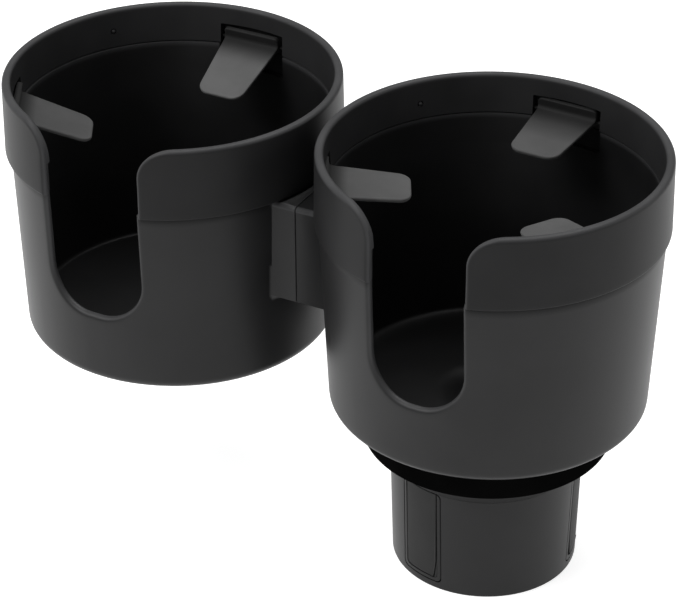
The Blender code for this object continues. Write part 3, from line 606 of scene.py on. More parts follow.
TAB_ANGLES = {"main": (88.0, 208.0, 328.0), "side": (90.0, 210.0, 330.0)}
TAB_SLOT_HALF = 12.3 * MM
BAY_DEPTH = 8.0 * MM


def on_cup(cup, mesh, turn=0.0):
    """Put a mesh on a cup's axis, turned about it by degrees."""
    return moved(mesh, (CUP_X[cup], 0, 0), turn)


print("cups", round(CUP_SPACING / MM, 1), "mm apart")

# %% Lay out a shell's wall
NOTCH_EDGE = 1.8 * MM           # rounding of the notch's outer edge
NOTCH_INNER_EDGE = 0.7 * MM
NECK_EDGE = 0.45                # share of that rounding on the thin neck
PATTERN_REACH = 4.0 * MM        # how far the lines that follow the U go
LINE_STRIDE = 1.2 * MM
FRAME_WIDTH = 8.0 * MM
FRAME_FOOT_Z = NOTCH_BOTTOM_Z - FRAME_WIDTH
FRAME_SHARES = (0.33, 0.66, 1.0)        # lines between the pattern and its frame
SHOULDER_Z = COLLAR_FOOT_Z - GAP        # here the wall steps in to the neck
STRAIGHT_STEPS, BEND_STEPS = 9, 16


def shell_grids(notch_half):
    """Flat pattern of a shell's wall: round the U, out to a frame, and the back.

    The straight sides get even lines, and close ones where the wall steps in.
    """
    centre_x, centre_z = notch_half - NOTCH_ROUND, NOTCH_BOTTOM_Z + NOTCH_ROUND
    rise = [centre_z + (SHOULDER_Z - 0.4 * MM - centre_z) * i / STRAIGHT_STEPS
            for i in range(STRAIGHT_STEPS + 1)]
    rise += [SHOULDER_Z - 0.1 * MM, SHOULDER_Z + 0.1 * MM, SHOULDER_Z + 3 * MM,
             SHELL_TOP_Z - 2 * MM, SHELL_TOP_Z]
    frame_half = notch_half + FRAME_WIDTH
    reach = frame_half - centre_x
    along = [(1.0, 0.0, 0.0, z) for z in reversed(rise)]
    for i in range(1, BEND_STEPS + 1):
        turn = math.radians(90 * i / BEND_STEPS)
        along.append((math.cos(turn), math.sin(turn), turn, centre_z))
    half_way = []
    for dx, dz, turn, z in along:
        def at(distance, dx=dx, dz=dz, z=z):
            span = NOTCH_ROUND + distance
            return (centre_x + span * dx, 0, z - span * dz)
        if turn <= math.radians(45):
            target = (frame_half, 0, z - reach * math.tan(turn))
        else:
            target = (centre_x + reach * math.tan(math.radians(90) - turn), 0, FRAME_FOOT_Z)
        line = [(at(d), d) for d in edge_lines(NOTCH_EDGE, PATTERN_REACH, LINE_STRIDE)]
        last = line[-1][0]
        for share in FRAME_SHARES:
            point = tuple(a + (b - a) * share for a, b in zip(last, target))
            line.append((target if share == 1.0 else point, PATTERN_REACH))
        half_way.append(line)
    ends = [line[-1][0] for line in half_way]
    heights = [(z, PATTERN_REACH) for x, _, z in ends if x == frame_half]
    return [half_way + mirrored(reversed(half_way)), round_back(frame_half, heights)]


def shell_sink(distance, z, skin):
    """Rounding of the notch's edge: full outside, small inside, less on the thin neck."""
    rounding = NOTCH_INNER_EDGE if skin else NOTCH_EDGE
    return sunk(distance, rounding) * (NECK_EDGE if z > SHOULDER_Z else 1.0)


print("notches", {wall: round(2 * half / MM, 1) for wall, half in NOTCH_HALVES.items()}, "mm")

# %% Roll the shells
HUB_FOOT_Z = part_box("main_shell")[0].z
HUB_BOSS_R = 12.0 * MM
HUB_WELL_R = 7.6 * MM
WEB_TOP_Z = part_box("hub_washer")[0].z - GAP
BORE_R = 2.3 * MM
MAIN_FLOOR_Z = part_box("base_flange")[1].z + GAP
SIDE_FLOOR_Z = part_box("side_shell")[0].z
SHOULDER_CHAMFER = 0.3 * MM
SHOULDER_HALF = 0.05 * MM       # half the height over which the wall steps in
FOOT_STEPS = 10                 # steps round the bottom's edge
FLOOR_RINGS = (0.4, 0.7, 0.9)   # rings on the flat floor, as shares of its radius


def shell_mesh(cup, round_r, round_z, floor_z, bored):
    """A cup shell as one closed skin, before the link and the tab bays."""
    top_r, low_r, corner_z = TOP_R[cup], TOP_R[cup] - TAPER[cup], floor_z + round_z
    outer = [(low_r, corner_z), (top_r, SHOULDER_Z - SHOULDER_CHAMFER),
             (top_r - SHOULDER_CHAMFER, SHOULDER_Z - SHOULDER_HALF),
             (NECK_R, SHOULDER_Z + SHOULDER_HALF), (NECK_R, SHELL_TOP_Z)]
    inner = [(low_r - WALL, corner_z), (top_r - WALL, SHOULDER_Z),
             (top_r - WALL, SHELL_TOP_Z)]

    def bottom(inset, start):
        turn = [math.radians(90 * i / FOOT_STEPS) for i in range(FOOT_STEPS + 1)]
        flat_r = low_r - round_r
        side = [(flat_r + (round_r - inset) * math.sin(a),
                 corner_z - (round_z - inset) * math.cos(a)) for a in turn]
        flat = [(flat_r * share, floor_z + inset) for share in FLOOR_RINGS]
        profile = outer if inset == 0 else inner
        wall = [(profile_radius(profile, z), z) for z in
                (corner_z + 3 * MM, (corner_z + FRAME_FOOT_Z) / 2)]
        return start + flat + side + wall
    if bored:
        boss = [(BORE_R, HUB_FOOT_Z), (HUB_BOSS_R, HUB_FOOT_Z), (HUB_BOSS_R, floor_z)]
        well = [(BORE_R, WEB_TOP_Z), (HUB_WELL_R, WEB_TOP_Z), (HUB_WELL_R, floor_z + WALL)]
        floors = (bottom(0.0, boss), bottom(WALL, well))
    else:
        floors = (bottom(0.0, [(0.0, floor_z)]), bottom(WALL, [(0.0, floor_z + WALL)]))
    wall = roll_wall(cup, shell_grids(NOTCH_HALVES[f"{cup}_shell"]), outer, inner, shell_sink,
                     floors)
    return on_cup(cup, wall, NOTCH_TURNS[f"{cup}_shell"])


walls = {"main": shell_mesh("main", 8.1 * MM, 4.4 * MM, MAIN_FLOOR_Z, True),
         "side": shell_mesh("side", 4.0 * MM, 4.0 * MM, SIDE_FLOOR_Z, False)}
print("shells", [len(wall.polygons) for wall in walls.values()], "faces")

# %% [markdown]
# ## The link between the cups
# Each cup carries half of a hollow block. A rail that widens like a dove's tail stands on
# the main cup's half and slides into the side cup's, so the side cup lifts off upwards.
# The two halves could be cut from one block, but built apart each can be hollowed, joined
# to its own wall and moved with it.

# %% Shape the link blocks
LINK_HALF = 22.5 * MM
LINK_TOP_Z = COLLAR_FOOT_Z - 0.7 * MM
LINK_FOOT_Z = LINK_TOP_Z - 35.3 * MM
LINK_ROUND = 1.6 * MM
LINK_SOFT = 0.35 * MM
LINK_SEAM_X = -CUP_SPACING / 2 - 0.5 * MM
LINK_SKIN = 2.0 * MM
SEAM_GAP = 0.1 * MM             # the two halves touch there on the real part
SEAM_X = {"main": LINK_SEAM_X + SEAM_GAP / 2, "side": LINK_SEAM_X - SEAM_GAP / 2}
TOWARDS = {"main": -1, "side": 1}       # where each cup's link lies, along X
PAST = 5.0 * MM                 # how far a cutter runs past what it cuts
DOVETAIL_TOP_Z = LINK_TOP_Z - 4.0 * MM
DOVETAIL_NECK = 7.0 * MM
DOVETAIL_FLARE = 2.0 * MM
DOVETAIL_DEPTH = CUP_SPACING + LINK_SEAM_X - TOP_R["side"] - 1.5 * GAP


def link_block(cup):
    """A link block with soft edges, hollowed where it passes through the cup's wall."""
    outline = ([(-LINK_HALF, LINK_FOOT_Z), (LINK_HALF, LINK_FOOT_Z)]
               + arc((LINK_HALF - LINK_ROUND, LINK_TOP_Z - LINK_ROUND), LINK_ROUND, 0, 90, 8)
               + arc((LINK_ROUND - LINK_HALF, LINK_TOP_Z - LINK_ROUND), LINK_ROUND, 90, 180, 8))
    inner_x = CUP_X[cup] + TOWARDS[cup] * NECK_R / 2
    block = pushed("block", outline, SEAM_X[cup], inner_x, "X")
    obj = soften(bpy.data.objects.new("block", block), LINK_SOFT, 3, 60.0)
    bpy.context.scene.collection.objects.link(obj)
    return applied(obj)


def cup_form(cup, grown):
    """A plain tapered form the size of a cup's wall, grown by a clearance."""
    low_r, top_r = TOP_R[cup] - TAPER[cup] + grown, TOP_R[cup] + grown
    form = turned("form", [(0, MAIN_FLOOR_Z), (low_r, MAIN_FLOOR_Z), (top_r, SHOULDER_Z),
                           (0, SHOULDER_Z)], 96)
    return on_cup(cup, form)


def dovetail(clearance, root_x):
    """Upright rail, wider away from the seam, grown by a clearance."""
    mouth_x = LINK_SEAM_X + GAP / 2
    tip_x = mouth_x - DOVETAIL_DEPTH - clearance
    slope = DOVETAIL_FLARE / DOVETAIL_DEPTH
    neck = DOVETAIL_NECK + clearance * math.hypot(1.0, slope)
    head = neck + slope * (mouth_x - tip_x)
    top_z = DOVETAIL_TOP_Z + clearance
    foot_z = LINK_FOOT_Z - (PAST if clearance else 0)
    outline = [(root_x, -neck), (root_x, neck), (mouth_x, neck), (tip_x, head),
               (tip_x, -head), (mouth_x, -neck)]
    return pushed("dovetail", outline, foot_z, top_z)


def cores(cup):
    """Two pockets that core a block from below, clear of the cup's wall."""
    pockets = []
    start = DOVETAIL_NECK + DOVETAIL_FLARE + LINK_SKIN + GAP
    end = LINK_HALF - LINK_SKIN
    xs = sorted((SEAM_X[cup] - TOWARDS[cup] * LINK_SKIN,
                 CUP_X[cup] + TOWARDS[cup] * NECK_R / 2))
    for side in (-1, 1):
        ys = sorted((side * start, side * end))
        box = rectangle((xs[0], ys[0]), (xs[1], ys[1]))
        pocket = pushed("core", box, LINK_FOOT_Z - PAST, LINK_TOP_Z - LINK_SKIN)
        pockets.append(combined(pocket, "DIFFERENCE", cup_form(cup, GAP)))
    return pockets


blocks = {cup: combined(link_block(cup), "DIFFERENCE", cup_form(cup, -WALL / 2), *cores(cup))
          for cup in CUP_X}
blocks["side"] = combined(blocks["side"], "DIFFERENCE", dovetail(GAP, LINK_SEAM_X + LINK_SKIN))
blocks["main"] = combined(blocks["main"], "UNION", dovetail(0.0, LINK_SEAM_X + LINK_SKIN / 2))
print("link halves", [len(half.polygons) for half in blocks.values()], "faces")

# %% Cutters for the bays and the neck
BAY_ROUND = 1.3 * MM
NECK_CUT_Z = COLLAR_FOOT_Z + 0.02 * MM      # the cut starts just inside the collar


def bay_cutters(cup):
    """Reliefs in the shell's top that let the tabs swing down."""
    half, low, top = TAB_SLOT_HALF + GAP, SHELL_TOP_Z - BAY_DEPTH, SHELL_TOP_Z + PAST
    outline = (arc((-half + BAY_ROUND, low + BAY_ROUND), BAY_ROUND, 180, 270, 6)
               + arc((half - BAY_ROUND, low + BAY_ROUND), BAY_ROUND, 270, 360, 6)
               + [(half, top), (-half, top)])
    return [on_cup(cup, pushed("bay", outline, FOOT_R / 2, FOOT_R + PAST, "X"), angle)
            for angle in TAB_ANGLES[cup]]


def neck_cutter(cup):
    """Trims the neck on both sides of the notch, so that the collar's edge hides it."""
    half = NOTCH_HALVES[f"{cup}_collar"] + GAP
    outline = rectangle((-half, -FOOT_R - PAST), (half, -FOOT_R / 2))
    box = pushed("neck", outline, NECK_CUT_Z, SHELL_TOP_Z + PAST)
    return on_cup(cup, box, NOTCH_TURNS[f"{cup}_collar"])


print("bays", round(2 * (TAB_SLOT_HALF + GAP) / MM, 1), "mm wide")

# %% Where a shell takes a painted highlight
# width of the painted highlight lines along notches, rims and the link's top edges
HIGHLIGHT_WIDTH = 1.3 * MM
LINK_EDGE_HALF = 10 * MM        # the link's top edge takes a painted highlight this far from the seam
# the shell's top takes a painted highlight down to this depth
TOP_SKIN = 0.1 * MM


def facing_notch(piece, spot):
    """A spot as seen from the axis of its cup, with the piece's notch straight ahead."""
    own = spot - Vector((CUP_X[piece.split("_")[0]], 0, 0))
    return Matrix.Rotation(math.radians(-NOTCH_TURNS[piece]), 3, "Z") @ own


def shell_highlight(piece):
    """Painted highlight of a shell spot: 1 on the notch's edge, its top and the link's edge."""
    half = NOTCH_HALVES[piece]
    round_x, round_z = half - NOTCH_ROUND, NOTCH_BOTTOM_Z + NOTCH_ROUND

    def measure(spot):
        own = facing_notch(piece, spot)
        across, link_top = abs(own.x), math.hypot(abs(spot.y) - LINK_HALF, spot.z - LINK_TOP_Z)
        if abs(spot.x - LINK_SEAM_X) < LINK_EDGE_HALF and link_top < HIGHLIGHT_WIDTH:
            return 1.0
        if spot.z > SHELL_TOP_Z - TOP_SKIN:
            return 1.0
        if spot.z > round_z:
            distance = across - half
        else:
            distance = math.hypot(max(0.0, across - round_x), spot.z - round_z) - NOTCH_ROUND
        return 1 - distance / HIGHLIGHT_WIDTH if own.y < 0 else 0.0
    return measure


# the printed width is that of the painted highlight lines
print("worn edges", round(HIGHLIGHT_WIDTH / MM, 1), "mm wide")

# %% Cut the bays and join the links
DRIVE_HALF = 5.8 * MM           # square socket for the scroll plate's drive
DRIVE_DEPTH = 5.4 * MM
socket = rectangle((-DRIVE_HALF, -DRIVE_HALF), (DRIVE_HALF, DRIVE_HALF))
walls["main"] = combined(walls["main"], "DIFFERENCE", pushed(
    "socket", socket, HUB_FOOT_Z - MM, HUB_FOOT_Z + DRIVE_DEPTH))
for cup, block_half in blocks.items():
    wall = combined(walls[cup], "DIFFERENCE", neck_cutter(cup), *bay_cutters(cup))
    # each shell stores its painted highlight along the notch, its top and the link's edges
    shell = add_piece(f"{cup}_shell", store(combined(wall, "UNION", block_half), "painted_edge_highlight",
                                            shell_highlight(f"{cup}_shell")))
    print(shell.name, len(shell.data.polygons), "faces")

# %% [markdown]
# ## Collars
# A collar is a ring with a soft rim. It is open at the notch, and its two upper corners
# there are large rounds, so a handle slides in easily. Its pattern has three parts on
# each side: a straight side, a fan round the corner, and the long rim round the back.
# High on the inside of each band stands a small nub in a dimple, a mark that the mould
# leaves where it pushes the part out.

# %% Lay out a collar
COLLAR_CORNER = 10.5 * MM
FAN_STEPS = 16
COLLAR_TOP_R = FOOT_R - 0.4 * MM
RIM_ROUND = 1.25 * MM
SKIRT_EDGES = (1.75 * MM, 0.4 * MM)   # rounding of the skirt, outside and inside
COLLAR_FOOT_ROUND = 0.6 * MM
RIM_BLEND = 9 * MM              # height over which the skirt's rounding becomes the rim's
SHELF_STEP = 0.2 * MM
SKIRT_LINES = (5 * MM, 8 * MM)  # lines on the skirt, above its foot
BAND_TOP_R = COLLAR_TOP_R - 3.0 * MM
BAND_FOOT_R = BAND_TOP_R - 0.7 * MM
SKIRT_R = FOOT_R - 2.2 * MM
TAB_AXIS_R = BAND_TOP_R - GAP
TAB_AXIS_Z = SHELF_Z + 2.1 * MM
SLOT_START_R = BAND_FOOT_R - 20 * MM
SLOT_DEPTH_R = TAB_AXIS_R + 1.2 * MM
SLOT_TOP_Z = TAB_AXIS_Z + 5.1 * MM
SLOT_FOOT_Z = SHELF_Z - 0.9 * MM


def collar_grids(notch_half):
    """Flat pattern of a collar: straight sides, fans round the corners, and the rim."""
    shoulder_z = RIM_Z - COLLAR_CORNER
    lines = edge_lines(SKIRT_EDGES[0], COLLAR_CORNER, LINE_STRIDE)
    foot = [COLLAR_FOOT_Z + d for d in edge_lines(COLLAR_FOOT_ROUND, 2.0 * MM, MM)]
    rise = foot + [COLLAR_FOOT_Z + d for d in SKIRT_LINES]
    rise += [SHELF_Z, SHELF_Z + SHELF_STEP, shoulder_z]
    half = notch_half + COLLAR_CORNER
    side = [[((notch_half + d, 0, z), d) for d in lines] for z in rise]
    fan = []
    for i in range(FAN_STEPS + 1):
        turn = math.radians(180 - 90 * i / FAN_STEPS)
        fan.append([((half + (COLLAR_CORNER - d) * math.cos(turn), 0,
                      shoulder_z + (COLLAR_CORNER - d) * math.sin(turn)), d) for d in lines])
    heights = [(z, RIM_Z - z) for z in rise[:-1]] + [(RIM_Z - d, d) for d in reversed(lines)]
    return [side, fan, round_back(half, heights), mirrored(side), mirrored(fan)]


def collar_sink(distance, z, skin):
    """Rounding of rim and notch, blended from the thin skirt to the band, and the foot."""
    share = share_of((z - SHELF_Z) / RIM_BLEND)
    edge = sunk(distance, SKIRT_EDGES[skin] + (RIM_ROUND - SKIRT_EDGES[skin]) * share)
    return max(edge, sunk(z - COLLAR_FOOT_Z, COLLAR_FOOT_ROUND))


print("collar", round((RIM_Z - COLLAR_FOOT_Z) / MM, 1), "mm high")

# %% Roll the collars and store their painted highlights
INNER_BAND_LIGHT = 0.32               # painted light on the inside of the band


def collar_mesh(cup):
    """A collar with its three tab slots, each cut from inside and not through."""
    outer = [(FOOT_R, COLLAR_FOOT_Z), (COLLAR_TOP_R, RIM_Z)]
    inner = [(SKIRT_R, COLLAR_FOOT_Z), (SKIRT_R, SHELF_Z), (BAND_FOOT_R, SHELF_Z + SHELF_STEP),
             (BAND_TOP_R, RIM_Z)]
    ring = roll_wall(cup, collar_grids(NOTCH_HALVES[f"{cup}_collar"]), outer, inner,
                     collar_sink)
    ring = on_cup(cup, ring, NOTCH_TURNS[f"{cup}_collar"])
    box = rectangle((-TAB_SLOT_HALF, SLOT_FOOT_Z), (TAB_SLOT_HALF, SLOT_TOP_Z))
    slots = [on_cup(cup, pushed("slot", box, SLOT_START_R, SLOT_DEPTH_R, "X"), angle)
             for angle in TAB_ANGLES[cup]]
    return combined(ring, "DIFFERENCE", *slots)


def rim_highlight(piece):
    """Painted highlight of a collar spot: 1 on the rim, some painted light inside, none
    elsewhere.
    """
    half, low = NOTCH_HALVES[piece], RIM_Z - COLLAR_CORNER

    def measure(spot):
        own = facing_notch(piece, spot)
        across, distance = abs(own.x), RIM_Z - spot.z
        if own.y < 0 and across < half + COLLAR_CORNER:
            distance = across - half if spot.z < low else COLLAR_CORNER - math.hypot(
                across - half - COLLAR_CORNER, spot.z - low)
        inside = INNER_BAND_LIGHT if math.hypot(own.x, own.y) < BAND_TOP_R + 0.2 * MM else 0.0
        return max(inside, 1 - distance / HIGHLIGHT_WIDTH)
    return measure


rings = {cup: collar_mesh(cup) for cup in CUP_X}
print("rings", [len(ring.polygons) for ring in rings.values()], "faces")

# %% Add the nubs and dress the collars
NUB_TURNS = {"main": 142.6, "side": 144.6}                  # degrees round the cup
NUB_DROPS = {"main": 8.3 * MM, "side": 7.7 * MM}            # below the rim
NUB_R = 0.65 * MM
NUB_RING_R = 1.1 * MM
NUB_DEPTH = 0.5 * MM
NUB_ROOT = NUB_DEPTH + 0.3 * MM
for cup, ring in rings.items():
    nub_z = RIM_Z - NUB_DROPS[cup]
    face_r = BAND_FOOT_R + (BAND_TOP_R - BAND_FOOT_R) * (nub_z - SHELF_Z) / (RIM_Z - SHELF_Z)
    dimple = turned("dimple", [(0, -MM), (NUB_RING_R, -MM), (NUB_RING_R, 0),
                               (NUB_RING_R - 0.2 * MM, NUB_DEPTH), (0, NUB_DEPTH)], 32)
    nub = turned("nub", [(0, NUB_ROOT), (NUB_R, NUB_ROOT)]
                 + arc((0, 0), NUB_R, 0, -90, 6)[:-1] + [(0, -NUB_R)], 32)
    for tool, operation in ((dimple, "DIFFERENCE"), (nub, "UNION")):
        tool = moved(tool, (face_r, 0, nub_z), tilt=90)
        ring = combined(ring, operation, on_cup(cup, tool, NUB_TURNS[cup]))
    node = f"{cup}_collar"
    # the rim's painted highlight and the band's painted light are stored on the collar
    collar = add_piece(node, store(ring, "painted_edge_highlight", rim_highlight(node)))
    print(collar.name, len(collar.data.polygons), "faces")

# %% [markdown]
# ## Grip tabs
# A grip tab is a rubber flap that bends down as a bottle passes and leans on it. It is
# moulded thin, its edge is a full round, and its root curls up into the slot of the
# collar. A box with rounded edges would do for the flap but not for the curl. So the tab
# is laid out flat as well: loops that follow the edge, rows across the middle, and then
# the flat pattern is bent over a small former at its root.

# %% Sizes of a tab
TAB_LENGTH = 27.3 * MM
TAB_HALF_ROOT = 10.7 * MM
TAB_HALF_TIP = 8.8 * MM
TAB_TIP_CORNER = 4.5 * MM
TAB_ROOT_CORNER = 1.5 * MM
TAB_HALF_THICK = 1.1 * MM
TAB_ROOT_THINNER = 0.25 * MM
TAB_ROOT_REACH = 9 * MM         # the flap is thinner up to here
CURL_R = 2.6 * MM
CURL_LIP = 2.0 * MM             # straight stretch above the curl
CURL_END = CURL_LIP + CURL_R * math.pi / 2
TAB_REACH = CURL_END + TAB_LENGTH - CURL_R
TAB_EDGE = 0.45 * MM            # rounding of the top's and the bottom's edge
TAB_THIN_EDGE = 1.0 * MM        # how much thinner the flap is at its edge
TAB_THIN_REACH = 6.0 * MM
TAB_DISH = 0.14 * MM            # the middle lies this much below the lip
TAB_LIP = 0.9 * MM              # width of the slope from the lip to the middle
TAB_ROWS = 11
TAB_STRIDE = 0.45 * MM          # between the stops round the curl
CURL_STOPS, FLAP_STOPS = 8, 10
TAB_PIN_R = 0.6 * MM
TAB_PIN_END = TAB_SLOT_HALF + 1.2 * MM
print("tab", round(TAB_LENGTH / MM, 1), "mm long")

# %% Lay out and bend a tab
def half_outline(distance):
    """Flat (along, across) points of one side, from root to tip, inside the edge."""
    start, end = CURL_END - CURL_R, TAB_REACH - TAB_TIP_CORNER
    root, tip = TAB_ROOT_CORNER, TAB_TIP_CORNER
    points = arc((root, TAB_HALF_ROOT - root), root - distance, 180, 90, 4)
    stops = [root + TAB_STRIDE * i for i in range(1, CURL_STOPS + 1)]
    stops += [stops[-1] + (end - stops[-1]) * i / (FLAP_STOPS + 1)
              for i in range(1, FLAP_STOPS + 1)]
    for along in stops:
        share = share_of((along - start) / (end - start))
        points.append((along, TAB_HALF_ROOT + (TAB_HALF_TIP - TAB_HALF_ROOT) * share - distance))
    return points + arc((end, TAB_HALF_TIP - tip), tip - distance, 90, 0, 10)


def bent(along, across, height):
    """Bend a flat point over the former at the root; height is above the middle layer."""
    if along < CURL_LIP:
        return (height, across, CURL_R + CURL_LIP - along)
    if along < CURL_END:
        turn = (along - CURL_LIP) / CURL_R
        return (CURL_R - (CURL_R - height) * math.cos(turn), across,
                CURL_R - (CURL_R - height) * math.sin(turn))
    return (CURL_R + along - CURL_END, across, height)


def tab_height(along, distance, side):
    """Height of the top (side 1) or the bottom (-1) over the flap's middle layer."""
    full = TAB_HALF_THICK - TAB_ROOT_THINNER * max(0.0, 1 - along / TAB_ROOT_REACH)
    past_curl = share_of((along - CURL_LIP) / CURL_END)
    inside = share_of((distance - TAB_EDGE) / TAB_LIP)
    if side == 1:
        return full - sunk(distance, TAB_EDGE) - TAB_DISH * inside * past_curl
    thick = 2 * full - TAB_THIN_EDGE * past_curl * max(0.0, 1 - distance / TAB_THIN_REACH) ** 2
    return full - thick + sunk(distance, TAB_EDGE) * (thick / TAB_EDGE - 1)


print("stops along one side", len(half_outline(0.0)))

# %% Skin a tab
def tab_mesh():
    """One tab with its root axis on Y and its tip towards +X."""
    distances = edge_lines(TAB_EDGE, TAB_EDGE + 0.01 * MM, MM)[:-1]
    corners, faces = [], []

    def corner(along, across, distance, side):
        corners.append(bent(along, across, tab_height(along, distance, side)))
        return len(corners) - 1

    for side in (1, -1):
        loops = []
        for distance in distances:
            half = half_outline(distance)
            if distance == 0 and side == -1:
                loops.append(edge_loop)
                continue
            (s0, y0), (s1, y1) = half[0], half[-1]
            across = [math.cos(math.pi * i / (TAB_ROWS + 1)) for i in range(1, TAB_ROWS + 1)]
            ring = (half + [(s1, y1 * a) for a in across]
                    + [(s, -y) for s, y in reversed(half)] + [(s0, -y0 * a) for a in across])
            loops.append([corner(s, y, distance, side) for s, y in ring])
            if distance == 0:
                edge_loop = loops[0]
        count = len(loops[0])
        for low, high in zip(loops, loops[1:]):
            faces += [(low[i], low[(i + 1) % count], high[(i + 1) % count], high[i])
                      for i in range(count)]
        half = half_outline(TAB_EDGE)
        inner, last = loops[-1], len(half) - 1
        rows = []
        for i, (s, y) in enumerate(half):
            left = inner[last + TAB_ROWS + 1 + (last - i)]
            if i == 0:
                between = list(reversed(inner[-TAB_ROWS:]))
            elif i == last:
                between = inner[last + 1:last + 1 + TAB_ROWS]
            else:
                between = []
                for j in range(1, TAB_ROWS + 1):
                    across = y * math.cos(math.pi * j / (TAB_ROWS + 1))
                    from_edge = min(TAB_REACH - s, TAB_EDGE + y - abs(across))
                    between.append(corner(s, across, from_edge, side))
            rows.append([inner[i]] + between + [left])
        for low, high in zip(rows, rows[1:]):
            faces += list(zip(low, low[1:], high[1:], high))
    mesh = mesh_of("tab", corners, faces)
    pin = [(TAB_PIN_R * math.cos(math.tau * i / 24), TAB_PIN_R * math.sin(math.tau * i / 24))
           for i in range(24)]
    return combined(mesh, "UNION", pushed("pin", pin, -TAB_PIN_END, TAB_PIN_END, "Y"))


one_tab = tab_mesh()
print("tab", len(one_tab.polygons), "faces")

# %% [markdown]
# ## Six tabs from one
# The six tabs are copies of one. What differs is how they hang, as the side cup's hang
# lower, and how bright each is painted and how far its painted root shade reaches.

# %% Place the tabs
TAB_SLOPES = {"main": 5.5, "side": 22.0}                    # degrees below level
# painted light: how bright each tab is painted, standing in for how light falls on it
TAB_LIGHT_SHARES = {"main": (0.61, 0.69, 0.72), "side": (1.0, 0.61, 0.69)}
TAB_SHADE_FADES = {"main": (15.0, 5.0, 6.0), "side": (10.0, 5.0, 5.0)}    # mm over which the painted root shade fades out
TAB_ROOT_SHADE = 2.2 * MM        # painted shade is full dark this far from the root axis, under the slot and rim
for cup, cup_x in CUP_X.items():
    for number, angle in enumerate(TAB_ANGLES[cup], start=1):
        around = math.radians(angle)
        root = (cup_x + TAB_AXIS_R * math.cos(around), TAB_AXIS_R * math.sin(around), TAB_AXIS_Z)
        tab_light, shade_fade = TAB_LIGHT_SHARES[cup][number - 1], TAB_SHADE_FADES[cup][number - 1] * MM
        # each tab stores painted shade at its root and its own painted brightness
        tab = store(one_tab.copy(), "painted_tab_light", lambda spot: tab_light * min(
            1.0, (spot.x - TAB_ROOT_SHADE) / shade_fade))
        add_piece(f"{cup}_tab_{number}", moved(tab, root, angle + 180, TAB_SLOPES[cup]))
print("tabs", sum(len(angles) for angles in TAB_ANGLES.values()))

# %% [markdown]
# ## The base
# The base is a slightly tapered tube that drops into the vehicle's cup holder. Its top
# is a little thicker, like a crown, and below that it has three windows, one for each
# foot. Inside are ribs that guide the feet and three screw bosses. Everything is cut
# from turned forms, as on the solids, but with three times as many steps round, and
# the edges that a hand or an eye would meet get a small round.

# %% Sizes of the base
BASE_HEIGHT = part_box("base_flange")[1].z - 12.5 * MM
top_z = BASE_HEIGHT - GAP
CROWN_STEP = 0.3 * MM
BASE_TOP_R = 32.3 * MM
BASE_FOOT_R = BASE_TOP_R - 1.2 * MM
BASE_WALL = 2.4 * MM
BASE_FLOOR = 2.2 * MM
BASE_FOOT_ROUND = 0.5 * MM
SPIGOT_HEIGHT = 3 * MM
CROWN_Z = BASE_HEIGHT - 7.6 * MM
GROOVE_DEPTH = 0.25 * MM
GROOVE_TOP = 0.4 * MM           # the groove below the crown starts this far down
BEAD_ROUND = 0.15 * MM
BEAD_TOP = 0.9 * MM             # up to here the crown's wall is upright
FOOT_ANGLES = (-107.0, 13.0, 133.0)
BOSS_ANGLES = (-47.0, 73.0, 193.0)
WINDOW_HALF = 8.4 * MM
WINDOW_ROUND = 1.8 * MM
WINDOW_SILL_Z = BASE_FLOOR + 0.4 * MM
WINDOW_HEAD_Z = CROWN_Z - GROOVE_TOP
FOOT_INNER_R = 22.0 * MM
SCROLL_START_R = 10.5 * MM
SCROLL_FOOT_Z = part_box("scroll_plate")[0].z
ARM_HALF = 2.5 * MM
GUIDE_THICK, GUIDE_HEIGHT = 1.8 * MM, 10 * MM
screw_low, screw_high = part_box("flange_screw_1")
BOSS_CENTRE_R = math.hypot(*((screw_low + screw_high) / 2).xy)
BOSS_R, BOSS_HOLE_R, BOSS_HOLE_DEPTH = 2.7 * MM, 1.4 * MM, 9.6 * MM
BOSS_WEB_HALF = 0.8 * MM
BASE_STEPS = 144
BASE_PHASE = math.radians(FOOT_ANGLES[0]) + math.pi / BASE_STEPS
print("base", round(BASE_HEIGHT / MM, 1), "mm high")

# %% Forms for the base
def base_radius(z):
    """Outer radius of the base at a height."""
    return BASE_FOOT_R + (BASE_TOP_R - BASE_FOOT_R) * z / BASE_HEIGHT


def base_form(inset, low_z, high_z):
    """The base's tapered form between two heights, inset by a wall."""
    return turned("form", [(0, low_z), (base_radius(low_z) - inset, low_z),
                           (base_radius(high_z) - inset, high_z), (0, high_z)],
                  BASE_STEPS, BASE_PHASE)


def rounded_box(low, high, low_round, high_round, steps=8):
    """Outline of a rectangle with its own round at the bottom and at the top corners."""
    (u0, v0), (u1, v1) = low, high

    def corner(u, v, radius, start):
        if radius == 0:
            return [(u, v)]
        centre = (u - math.copysign(radius, u - (u0 + u1) / 2),
                  v - math.copysign(radius, v - (v0 + v1) / 2))
        return arc(centre, radius, start, start + 90, steps)
    return (corner(u1, v0, low_round, -90) + corner(u1, v1, high_round, 0)
            + corner(u0, v1, high_round, 90) + corner(u0, v0, low_round, 180))


def block(low, high, turn=0.0):
    """A plain block between two corners, turned about Z."""
    return moved(pushed("block", rectangle(low, high), low[2], high[2]), turn=turn)


def post(radius, centre_r, low_z, high_z, turn=0.0, steps=48):
    """An upright round post at a distance from the axis."""
    return moved(turned("post", [(0, low_z), (radius, low_z), (radius, high_z), (0, high_z)],
                        steps), (centre_r * math.cos(math.radians(turn)),
                                 centre_r * math.sin(math.radians(turn)), 0))


print("base radius", round(base_radius(0) / MM, 1), "to", round(base_radius(top_z) / MM, 1), "mm")

